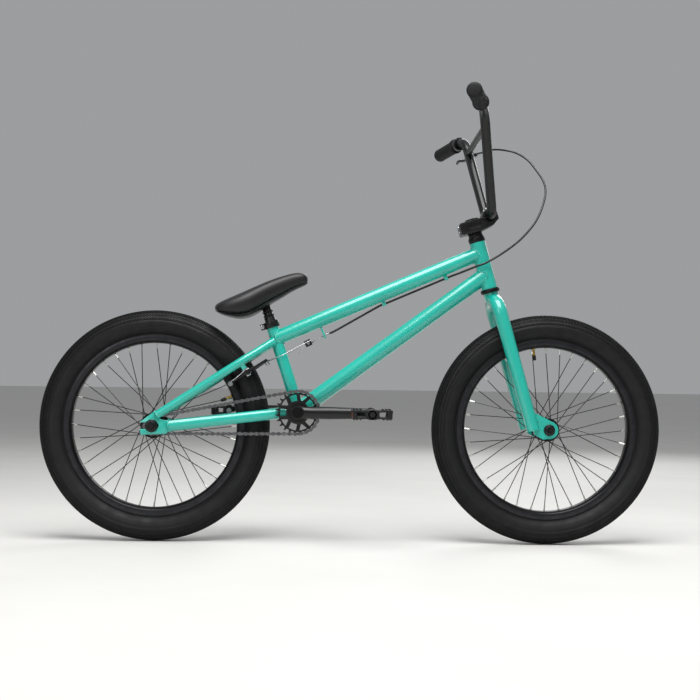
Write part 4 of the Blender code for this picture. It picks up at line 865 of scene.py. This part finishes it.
def toothedOutline(teeth, phase, tipHeight=0.0030, rootDepth=0.0042):
    pitch, step, outline = pitchRadius(teeth), 2 * pi / teeth, []
    shape = ((-0.34, -rootDepth), (-0.24, -rootDepth * 0.80), (-0.15, -rootDepth * 0.10),
             (-0.07, tipHeight * 0.92),
             (0.0, tipHeight), (0.07, tipHeight * 0.92), (0.15, -rootDepth * 0.10), (0.24, -rootDepth * 0.80),
             (0.34, -rootDepth))
    for tooth in range(teeth):
        for share, height in shape:
            a = phase + (tooth + share) * step
            outline.append(((pitch + height) * cos(a), (pitch + height) * sin(a)))
    return outline


sprocketCut = {"outer": 0.0408, "taperedInner": 0.0285, "squareInner": 0.0268, "half": 12.3}
windows = []
for pair in range(5):
    middle = 2 * pi * pair / 5
    windows.append(arc(sprocketCut["outer"], middle, radians(sprocketCut["half"]), 8)
                   + arc(sprocketCut["taperedInner"], middle, radians(3), 3, True))
    middle += pi / 5
    windows.append(arc(sprocketCut["outer"], middle, radians(sprocketCut["half"]), 8)
                   + arc(sprocketCut["squareInner"], middle, radians(14.5), 6, True))
disc = plate("sprocket_disc",
             [toothedOutline(drive["sprocketTeeth"], pi / drive["sprocketTeeth"]), *windows], 0.0028,
             bottomBracket + yAxis * drive["lineY"], xAxis, zAxis, 0.0004)
settle(paint(disc, blackCoat), "crankset", "black_metal", "sprocket")
collar = turned("sprocket_collar",
                [(0.0099, -0.0388), (0.0180, -0.0388), (0.0186, -0.0394), (0.0186, -0.0446),
                                    (0.0215, -0.0450), (0.0222, -0.0456), (0.0222, -0.0466),
                 (0.0175, -0.0474),
                                    (0.0172, -0.0490), (0.0099, -0.0490)], bottomBracket, yAxis, 64)
settle(paint(collar, blackAnodised), "crankset", "black_metal")

cog = plate("driver_cog", [toothedOutline(drive["driverTeeth"], pi / 2), arc(0.0078, 0, pi * 0.97, 24)],
            0.0028,
            rearAxle + yAxis * drive["lineY"], xAxis, zAxis, 0.0003)
settle(paint(cog, chainSteel), "driver", "chain_steel", "rear_driver_cog")
cogCollar = turned("driver_collar",
                   [(0.0074, -0.0392), (0.0122, -0.0392), (0.0128, -0.0398), (0.0128, -0.0494),
                                     (0.0122, -0.0500), (0.0074, -0.0500)], rearAxle, yAxis, 40)
settle(paint(cogCollar, blackCoat), "driver", "black_metal")

fromCad("crank_spindle", "crank_axle_tube", blackCoat, "crankset", "black_metal")
for side, sign in sides.items():
    fromCad(f"crank_arm_{side}", f"crank_arm_{side}_forged", blackCoat, "crankset", "black_metal", 0.0008)
    outer = 0.0770 * sign
    steps = ((0.0, 0.0030), (0.0030, 0.0030), (0.0034, 0.0012), (0.0052, 0.0012), (0.0056, 0.0030),
             (0.0072, 0.0030),
             (0.0078, 0.0022), (0.0082, 0.0006), (0.0102, 0.0006), (0.0106, 0.0016), (0.0128, 0.0016),
             (0.0134, 0.0008),
             (0.0134, -0.0012), (0.0, -0.0012))
    cap = turned(f"crank_bolt_{side}", [(r, outer + h * sign) for r, h in steps], bottomBracket, yAxis, 48,
                 angle=25)
    settle(paint(cap, blackAnodised), "crankset", "black_metal")
    fromCad(f"pedal_axle_{side}", f"pedal_axle_{side}_steel", zincSteel, "crankset", "bright_steel")
print("drive done")


# platform pedals: windowed side rails, bars across the ends, studs and a reflector in each end
pedal = {"halfLength": 0.0450, "yNear": 0.0870, "yFar": 0.1840, "rail": 0.0090, "rib": 0.0045,
         "bar": 0.0085, "stud": 0.0018, "studRadius": 0.0013}
railOutline = [(-0.0400, -0.0108), (-0.0140, -0.0090), (-0.0060, -0.0112), (0.0060, -0.0112),
               (0.0140, -0.0090),
               (0.0400, -0.0108), (0.0444, 0.0040), (0.0446, 0.0100), (0.0330, 0.0102), (0.0150, 0.0086),
               (0.0070, 0.0112), (-0.0070, 0.0112), (-0.0150, 0.0086), (-0.0330, 0.0102), (-0.0446, 0.0100),
               (-0.0444, 0.0040)]
railWindow = [(0.0155, -0.0052), (0.0325, -0.0066), (0.0345, 0.0058), (0.0155, 0.0050)]


def bar(name, centre, size, bevel=0.0008):
    thing = meshObject(name, lambda shape: bmesh.ops.create_cube(
        shape, size=1.0, matrix=Matrix.Translation(centre) @ Matrix.Diagonal((*size, 1))))
    addBevel(thing, bevel)
    return bake(thing)


for side, sign in sides.items():
    centre = bottomBracket + Vector((-0.165 * sign, (pedal["yNear"] + pedal["yFar"]) / 2 * sign, 0))
    halfWidth, halfLength = (pedal["yFar"] - pedal["yNear"]) / 2, pedal["halfLength"]
    windows = [railWindow, [(-x, z) for x, z in railWindow]]
    parts = []
    for y in (-1, 1):
        place = centre + yAxis * (y * (halfWidth - pedal["rail"] / 2))
        parts.append(plate("rail", [railOutline, *windows], pedal["rail"], place, xAxis, zAxis, 0.0008))
        place = centre + yAxis * (y * 0.0135)
        parts.append(plate("rib", [[(x * 0.96, z * 0.92) for x, z in railOutline], *windows], pedal["rib"],
                           place,
                           xAxis, zAxis, 0.0006))
    for end in (-1, 1):
        parts.append(bar("end_bar", centre + xAxis * (end * (halfLength - pedal["bar"] / 2 - 0.0012)),
                         (pedal["bar"], halfWidth * 2 - 0.004, 0.0190)))
    cage = paint(joined(f"pedal_cage_{side}", parts), nylon)
    settle(cage, f"pedal_{side}", "black_plastic", f"pedal_body_{side}")

    def studs(shape):
        for top in (-1, 1):
            for y in (-0.0445, -0.0135, 0.0135, 0.0445):
                for x, z in ((-0.0400, 0.0092), (-0.0330, 0.0092), (-0.0250, 0.0090), (0.0250, 0.0090),
                             (0.0330, 0.0092), (0.0400, 0.0092)):
                    foot = centre + Vector((x, y, top * z))
                    addRod(shape, foot, foot + zAxis * (top * (pedal["stud"] + 0.0012)), pedal["studRadius"],
                           8,
                           pedal["studRadius"] * 0.7)
    settle(paint(bake(meshObject(f"pedal_studs_{side}", studs)), nylon), f"pedal_{side}", "black_plastic")

    barrel = turned(f"pedal_barrel_{side}",
                    [(0.0064, -halfWidth), (0.0096, -halfWidth), (0.0106, -halfWidth + 0.0010),
                                             (0.0106, halfWidth - 0.0012), (0.0096, halfWidth),
                     (0.0064, halfWidth)],
                    centre, yAxis, 40)
    settle(paint(barrel, nylon), f"pedal_{side}", "black_plastic")
    outerEnd = centre + yAxis * (halfWidth * sign)
    dustCap = turned(f"pedal_dust_cap_{side}",
                     [(0.0, -0.0016), (0.0062, -0.0016), (0.0070, -0.0008), (0.0070, -0.0100),
                                                (0.0, -0.0100)], outerEnd, yAxis * sign, 32)
    settle(paint(dustCap, nylon), f"pedal_{side}", "black_plastic")
    for end in (-1, 1):
        place = centre + Vector((end * (halfLength - 0.0022), 0, -0.0010))
        lens = bar(f"pedal_reflector_{side}_{'front' if end > 0 else 'rear'}", place,
                   (0.0030, 0.0560, 0.0120))
        settle(paint(lens, amber), f"pedal_{side}", "black_plastic")
print("pedals done")


# saddle: a slim padded top over a nylon base, on one post
saddle = {"stations": (
    # x, top z, skirt z, half width
    (-0.3165, 0.5415, 0.5310, 0.0330),
    (-0.3120, 0.5460, 0.5265, 0.0455),
    (-0.3000, 0.5530, 0.5215, 0.0560),
    (-0.2825, 0.5612, 0.5160, 0.0605),
    (-0.2650, 0.5690, 0.5135, 0.0618),
    (-0.2475, 0.5772, 0.5140, 0.0600),
    (-0.2300, 0.5855, 0.5200, 0.0550),
    (-0.2125, 0.5938, 0.5310, 0.0475),
    (-0.1950, 0.6015, 0.5440, 0.0400),
    (-0.1775, 0.6083, 0.5550, 0.0337),
    (-0.1600, 0.6140, 0.5650, 0.0290),
    (-0.1450, 0.6185, 0.5750, 0.0262),
    (-0.1300, 0.6216, 0.5835, 0.0235),
    (-0.1170, 0.6212, 0.5890, 0.0200),
    (-0.1080, 0.6175, 0.5935, 0.0160),
    (-0.1035, 0.6120, 0.5985, 0.0100),
), "split": 0.84}
coverShares = ((-0.84, 0.0), (-0.95, 0.10), (-1.0, 0.30), (-1.0, 0.50), (-0.92, 0.76), (-0.68, 0.93),
               (-0.34, 0.99), (0, 1.0),
               (0.34, 0.99), (0.68, 0.93), (0.92, 0.76), (1.0, 0.50), (1.0, 0.30), (0.95, 0.10), (0.84, 0.0),
               (0.45, 0.03),
               (0, 0.04), (-0.45, 0.03))
baseShares = ((-0.66, 0.10), (-0.82, 0.70), (-0.80, 1.0), (-0.4, 1.0), (0, 1.0), (0.4, 1.0), (0.80, 1.0),
              (0.82, 0.70),
              (0.66, 0.10), (0.42, 0.0), (0, 0.0), (-0.42, 0.0))


def loft(name, sections):
    def fill(shape):
        rings = [[shape.verts.new(point) for point in section] for section in sections]
        for before, after in zip(rings, rings[1:]):
            for i in range(len(before)):
                n = (i + 1) % len(before)
                shape.faces.new((before[i], before[n], after[n], after[i]))
        shape.faces.new(rings[0][::-1])
        shape.faces.new(rings[-1])
        bmesh.ops.recalc_face_normals(shape, faces=shape.faces)
    return meshObject(name, fill)


def saddlePiece(name, shares, upper):
    sections = []
    for x, top, skirt, halfWidth in saddle["stations"]:
        split = top - (top - skirt) * saddle["split"]
        low, high = (split + 0.0002, top) if upper else (skirt, split - 0.0002)
        sections.append([Vector((x, a * halfWidth, low + u * (high - low))) for a, u in shares])
    thing = loft(name, sections)
    rounding = thing.modifiers.new("round", "SUBSURF")
    rounding.levels = rounding.render_levels = 2
    return bake(thing, 60)


cushion = paint(saddlePiece("saddle_cushion", coverShares, True), saddleSkin)
settle(cushion, "seat", "black_plastic", "saddle_cover")
base = paint(saddlePiece("saddle_shell", baseShares, False), nylon)
settle(base, "seat", "black_plastic", "saddle_base")
fromCad("seat_post", "seat_post_tube", blackCoat, "seat", "black_metal", 0.0006)
postRings = {"neck": 0.0104, "ring": 0.0130, "heights": (0.5190, 0.5275), "ringHeight": 0.0040}
for index, z in enumerate(postRings["heights"]):
    low, ringTop = (z - seatFoot.z) / seatUp.z, (z - seatFoot.z) / seatUp.z + postRings["ringHeight"]
    ring = turned(f"seat_post_ring_{index + 1}", [
        (postRings["neck"] - 0.001, low), (postRings["ring"] - 0.0008, low),
        (postRings["ring"], low + 0.0008),
        (postRings["ring"], ringTop - 0.0008), (postRings["ring"] - 0.0008, ringTop),
        (postRings["neck"] - 0.001, ringTop)],
        seatFoot, seatUp, 48)
    settle(paint(ring, blackCoat), "seat", "black_metal")
fromCad("seat_clamp", "seat_clamp_band", blackCoat, "frame", "black_metal", 0.0006)
fromCad("seat_clamp_bolt", "seat_clamp_screw", zincSteel, "frame", "bright_steel", 0.0004)
print("saddle done")


# headset, fork, stem, bars
for node, name in (("headset_cup_lower", "headset_lower_ring"), ("headset_cup_upper", "headset_upper_ring")):
    fromCad(node, name, blackAnodised, "frame", "black_metal", 0.0003)
fromCad("headset_spacer", "headset_spacer_stack", blackAnodised, "steering", "black_metal", 0.0003)
fromCad("fork", "fork_painted", tealEnamel, "steering", "teal_paint")
fromCad("stem", "stem_body", blackCoat, "steering", "black_metal", 0.0012)
fromCad("stem_bar_cap", "stem_face_cap", blackCoat, "steering", "black_metal", 0.0012)
fromCad("stem_top_cap", "stem_top_cover", blackAnodised, "steering", "black_metal", 0.0005)
fromCad("handlebar", "handlebar_tube", blackCoat, "steering", "black_metal")
stemBolts = [(steer(0.1238, forward, y), steerUp, 0.0036,
              0.0030) for forward in (0.0365, 0.0475) for y in (-0.0175, 0.0175)]
stemBolts += [(steer(up, -0.0332, 0.0), -steerForward, 0.0036, 0.0026) for up in (0.0865, 0.0995)]
stemBolts += [(steer(0.1119, 0.0), steerUp, 0.0046, 0.0024)]
bolts("stem_bolts", "steering", stemBolts)

barBend, barEnd = (0.3225, 0.0620, 0.1850), (0.3310, 0.0190, 0.3710)
grip = {"length": 0.1280, "radius": 0.0153, "ribs": 22, "ribHeight": 0.0009}
for side, sign in sides.items():
    start = steer(barBend[0], barBend[1], barBend[2] * sign)
    finish = steer(barEnd[0], barEnd[1], barEnd[2] * sign)
    along = (finish - start).normalized()
    inner = finish + along * (0.0040 - grip["length"])
    profile = [(0.0114, 0.0), (0.0178, 0.0), (0.0184, 0.0012), (0.0184, 0.0040), (0.0176, 0.0056),
               (0.0158, 0.0066)]
    ribStart, ribEnd = 0.0090, grip["length"] - 0.0120
    for rib in range(grip["ribs"]):
        foot = ribStart + (ribEnd - ribStart) * rib / grip["ribs"]
        pitch = (ribEnd - ribStart) / grip["ribs"]
        profile += [(grip["radius"], foot), (grip["radius"] + grip["ribHeight"], foot + pitch * 0.25),
                    (grip["radius"] + grip["ribHeight"], foot + pitch * 0.60),
                    (grip["radius"], foot + pitch * 0.85)]
    end = grip["length"]
    profile += [(0.0155, end - 0.0110), (0.0166, end - 0.0060), (0.0166, end - 0.0030),
                (0.0150, end - 0.0008),
                (0.0120, end), (0.0, end), (0.0, end - 0.0038), (0.0114, end - 0.0038)]
    handle = turned(f"grip_{side}_ribbed", profile, inner, along, 40, angle=50)
    settle(paint(handle, gripRubber), "steering", "black_rubber", f"grip_{side}")
print("bars done")


# brake lever, cable and rear brake
leverStart = steer(*barBend)
leverGrip = (steer(*barEnd) - leverStart).normalized()
tilt = Vector((cos(radians(-43)), 0, sin(radians(-43))))
leverReach = (tilt - leverGrip * tilt.dot(leverGrip)).normalized()
leverAxis = leverGrip.cross(leverReach).normalized()
leverCentre = leverStart + leverGrip * 0.0440
leverPivot = leverCentre + leverReach * 0.0340
barrelEnd = leverCentre + leverReach * 0.0450 - leverGrip * 0.0340 - leverAxis * 0.0011
fromCad("brake_lever_perch", "brake_lever_clamp", blackCoat, "steering", "black_metal", 0.0007)
bladeKnots = [leverPivot + leverGrip * a + leverReach * o + leverAxis * 0.0052
              for a, o in ((-0.004, 0.0), (0.015, 0.008), (0.040, 0.008), (0.065, 0.003), (0.085, 0.006))]
bladePath = smoothPath(bladeKnots, 0.003)
bladeScales = [1.15 - 0.35 * min(i / len(bladePath) * 1.6, 1) for i in range(len(bladePath))]
bladeScales[-2:] = [1.0, 0.8]
blade = swept("brake_lever_forging", bladePath, 0.0043, 4, bladeScales)
settle(paint(blade, blackCoat), "brake_lever", "black_metal", "brake_lever_blade")


def leverHardware(shape):
    addRod(shape, barrelEnd + leverGrip * 0.0120, barrelEnd + leverGrip * 0.0002, 0.0051, 16, 0.0040)
    addRod(shape, barrelEnd + leverGrip * 0.0150, barrelEnd + leverGrip * 0.0122, 0.0060, 16)
    for sign in (-1, 1):
        addRod(shape, leverPivot - leverAxis * 0.0055 + leverAxis * (0.0046 * sign),
               leverPivot - leverAxis * 0.0055 + leverAxis * (0.0062 * sign), 0.0042, 14)


settle(paint(bake(meshObject("brake_lever_hardware", leverHardware)), zincSteel), "steering", "bright_steel")


hanger = Vector((-0.1010, 0, 0.4587))
cableKnots = [barrelEnd - leverGrip * 0.0003, barrelEnd - leverGrip * 0.0123]
cableKnots += [Vector(point) for point in (
    (0.3230, 0.150, 0.9380), (0.3370, 0.125, 0.9390), (0.3580, 0.105, 0.9360), (0.3890, 0.085, 0.9260),
    (0.4150, 0.065, 0.9060), (0.4340, 0.045, 0.8770), (0.4490, 0.025, 0.8450), (0.4500, 0.010, 0.8140),
    (0.4360, -0.010, 0.7720), (0.4170, -0.020, 0.7380), (0.3840, -0.027, 0.7010), (0.3450, -0.029, 0.6710),
    (0.3100, -0.0270, 0.6500), (0.2850, -0.0225, 0.6400), (0.2500, -0.0060, 0.6262))]
for x in cable["guidesX"]:
    guide = topTubeBelow(x, cable["guideDrop"])
    cableKnots += [guide + topLine[1] * 0.015, guide, guide - topLine[1] * 0.015]
stop = topTubeBelow(cable["stopX"], cable["stopDrop"])
stopFace = stop + topLine[1] * 0.0028
cableKnots += [stopFace + topLine[1] * 0.026, stopFace + topLine[1] * 0.012, stopFace]
housingPath = smoothPath(cableKnots, 0.005)
housing = paint(swept("brake_cable_jacket", housingPath, cable["housing"], 4), jacket)
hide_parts("brake_cable_housing")
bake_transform(housing)


def ferrules(shape):
    addRod(shape, stopFace + topLine[1] * 0.0100, stopFace - topLine[1] * 0.0001, 0.0033, 14)


settle(paint(bake(meshObject("cable_ferrule", ferrules)), zincSteel), "frame", "bright_steel")
wireStart = stop + topLine[1] * 0.0015
wireAlong = (wireStart - hanger).normalized()
wireSquare = Vector((wireAlong.z, 0, -wireAlong.x))
innerWire = swept("brake_inner_wire_strand", [wireStart, hanger + wireSquare * 0.0030 + wireAlong * 0.0085],
                  cable["wire"], 3)
paint(innerWire, wireSteel)
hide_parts("brake_inner_wire")
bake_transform(innerWire)
nose = hanger + wireAlong * (0.0080 + 0.0011 + 0.0003) - wireSquare * 0.0030
half = [nose + yAxis * 0.0067, Vector((-0.1580, 0.0185, 0.4300)), brakeAt(0.0530, 0.0300, 0.0230)]
mirror = Vector((1, -1, 1))
straddle = swept("brake_straddle_strand", [p * mirror for p in half[::-1]] + half, cable["wire"], 3)
paint(straddle, wireSteel)
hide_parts("brake_straddle_wire")
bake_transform(straddle)
fromCad("brake_straddle_hanger", "brake_cable_yoke", blackCoat, "brake_hanger", "black_metal", 0.0010)
bolts("brake_yoke_bolt", "brake_hanger", [(hanger - yAxis * 0.0048, -yAxis, 0.0040, 0.0030)])

brake = {"level": 0.0308, "shoeBolt": 0.0056, "springRadius": 0.0008}
for side, sign in sides.items():
    body = f"brake_arm_{side}"
    fromCad(f"brake_arm_{side}", f"brake_caliper_arm_{side}", blackCoat, body, "black_metal", 0.0010)
    fromCad(f"brake_pad_{side}", f"brake_shoe_{side}", gripRubber, body, "black_rubber", 0.0008)
    outward = yAxis * sign
    shoe = brakeAt(-0.0450, 0.0300, 0.0)
    places = [
        (brakeAt(0.0, 0.0338, 0.0435 * sign), stayNormal, 0.0056, 0.0034),
        (brakeAt(0.0500, brake["level"], 0.0210 * sign), stayNormal, 0.0046, 0.0075),
        (shoe + outward * 0.0478, outward, brake["shoeBolt"], 0.0044),
    ]
    bolts(f"brake_bolts_{side}", body, places)
    # a black clamp block joins the shoe's post to the arm, and the return spring runs along its outer side
    block = bar(f"brake_shoe_clamp_{side}", shoe + outward * 0.0415, (0.0135, 0.0130, 0.0135), 0.0020)
    settle(paint(block, blackCoat), body, "black_metal")
    spring = [brakeAt(0.0105, 0.0235, 0.0505 * sign), brakeAt(0.0, 0.0215, 0.0535 * sign),
              brakeAt(-0.0150, 0.0240, 0.0530 * sign), brakeAt(-0.0350, 0.0262, 0.0510 * sign),
              brakeAt(-0.0430, 0.0250, 0.0490 * sign)]
    wire = swept(f"brake_return_spring_{side}", smoothPath(spring, 0.002), brake["springRadius"], 2)
    settle(paint(wire, zincSteel), body, "bright_steel")
    # nickelled pivot stud and its washer, fixed to the boss on the stay
    stud = turned(f"brake_pivot_washer_{side}",
                  [(0.0043, 0.0186), (0.0078, 0.0186), (0.0078, 0.0200), (0.0043, 0.0200)],
                  brakeAt(0, 0, 0.0435 * sign), stayNormal, 32)
    settle(paint(stud, zincSteel), "frame", "bright_steel")
# the brake cable's cut end curls down behind the yoke
tail = swept("brake_wire_tail", smoothPath([hanger - wireAlong * 0.0060 - wireSquare * 0.0020,
                                            hanger - wireAlong * 0.0160 + zAxis * -0.0045,
                                            hanger - wireAlong * 0.0230 + zAxis * -0.0140], 0.002), 0.0008, 2)
settle(paint(tail, wireSteel), "brake_hanger", "bright_steel")
print("brake done")

# ground, lights and camera
floor = meshObject("studio_floor",
                   lambda shape: bmesh.ops.create_circle(shape, cap_ends=True, segments=96, radius=60.0))
floor.location.z = cadBounds[0].z - 0.0005
floorPaint = makeMaterial("pale_floor", "#D9D8D5", "#D5D4D1", 0.75, 0.03, 400, 4, 0.02)
paint(floor, floorPaint)

world = bpy.data.worlds.new("studio")
bpy.context.scene.world = world
world.use_nodes = True
world.node_tree.nodes["Background"].inputs["Color"].default_value = hexColour("#E6E8EA")
world.node_tree.nodes["Background"].inputs["Strength"].default_value = 0.42

lamps = (
    # name, place, aims at, size, watts
    ("overhead_softbox", (0.0, -1.1, 3.0), (0, 0, 0.4), 2.2, 120),
    ("front_softbox", (-2.0, -3.2, 1.6), (0, 0, 0.4), 1.4, 16),
    ("back_softbox", (1.2, 3.2, 2.2), (0, 0, 0.4), 2.0, 40),
)
for name, place, target, size, watts in lamps:
    light = bpy.data.lights.new(name, "AREA")
    light.size, light.energy = size, watts
    lamp = newObject(name, light)
    lamp.location = place
    lamp.rotation_euler = (Vector(target) - Vector(place)).to_track_quat("-Z", "Y").to_euler()

view = {"place": (-0.0673, -2.9134, 0.3686), "yaw": -0.0218, "pitch": 0.0258, "roll": -0.0123, "lens": 64.596}
camera = newObject("camera", bpy.data.cameras.new("camera"))
camera.data.lens, camera.data.sensor_width = view["lens"], 36.0
camera.matrix_world = (
    Matrix.Translation(view["place"]) @ Matrix.Rotation(view["yaw"], 4, "Z") @ Matrix.Rotation(view["pitch"],
                                                                                               4, "X")
    @ Matrix.Rotation(view["roll"], 4, "Y") @ Matrix.Rotation(pi / 2, 4, "X"))
bpy.context.scene.camera = camera
bpy.context.scene.view_settings.view_transform = "Standard"
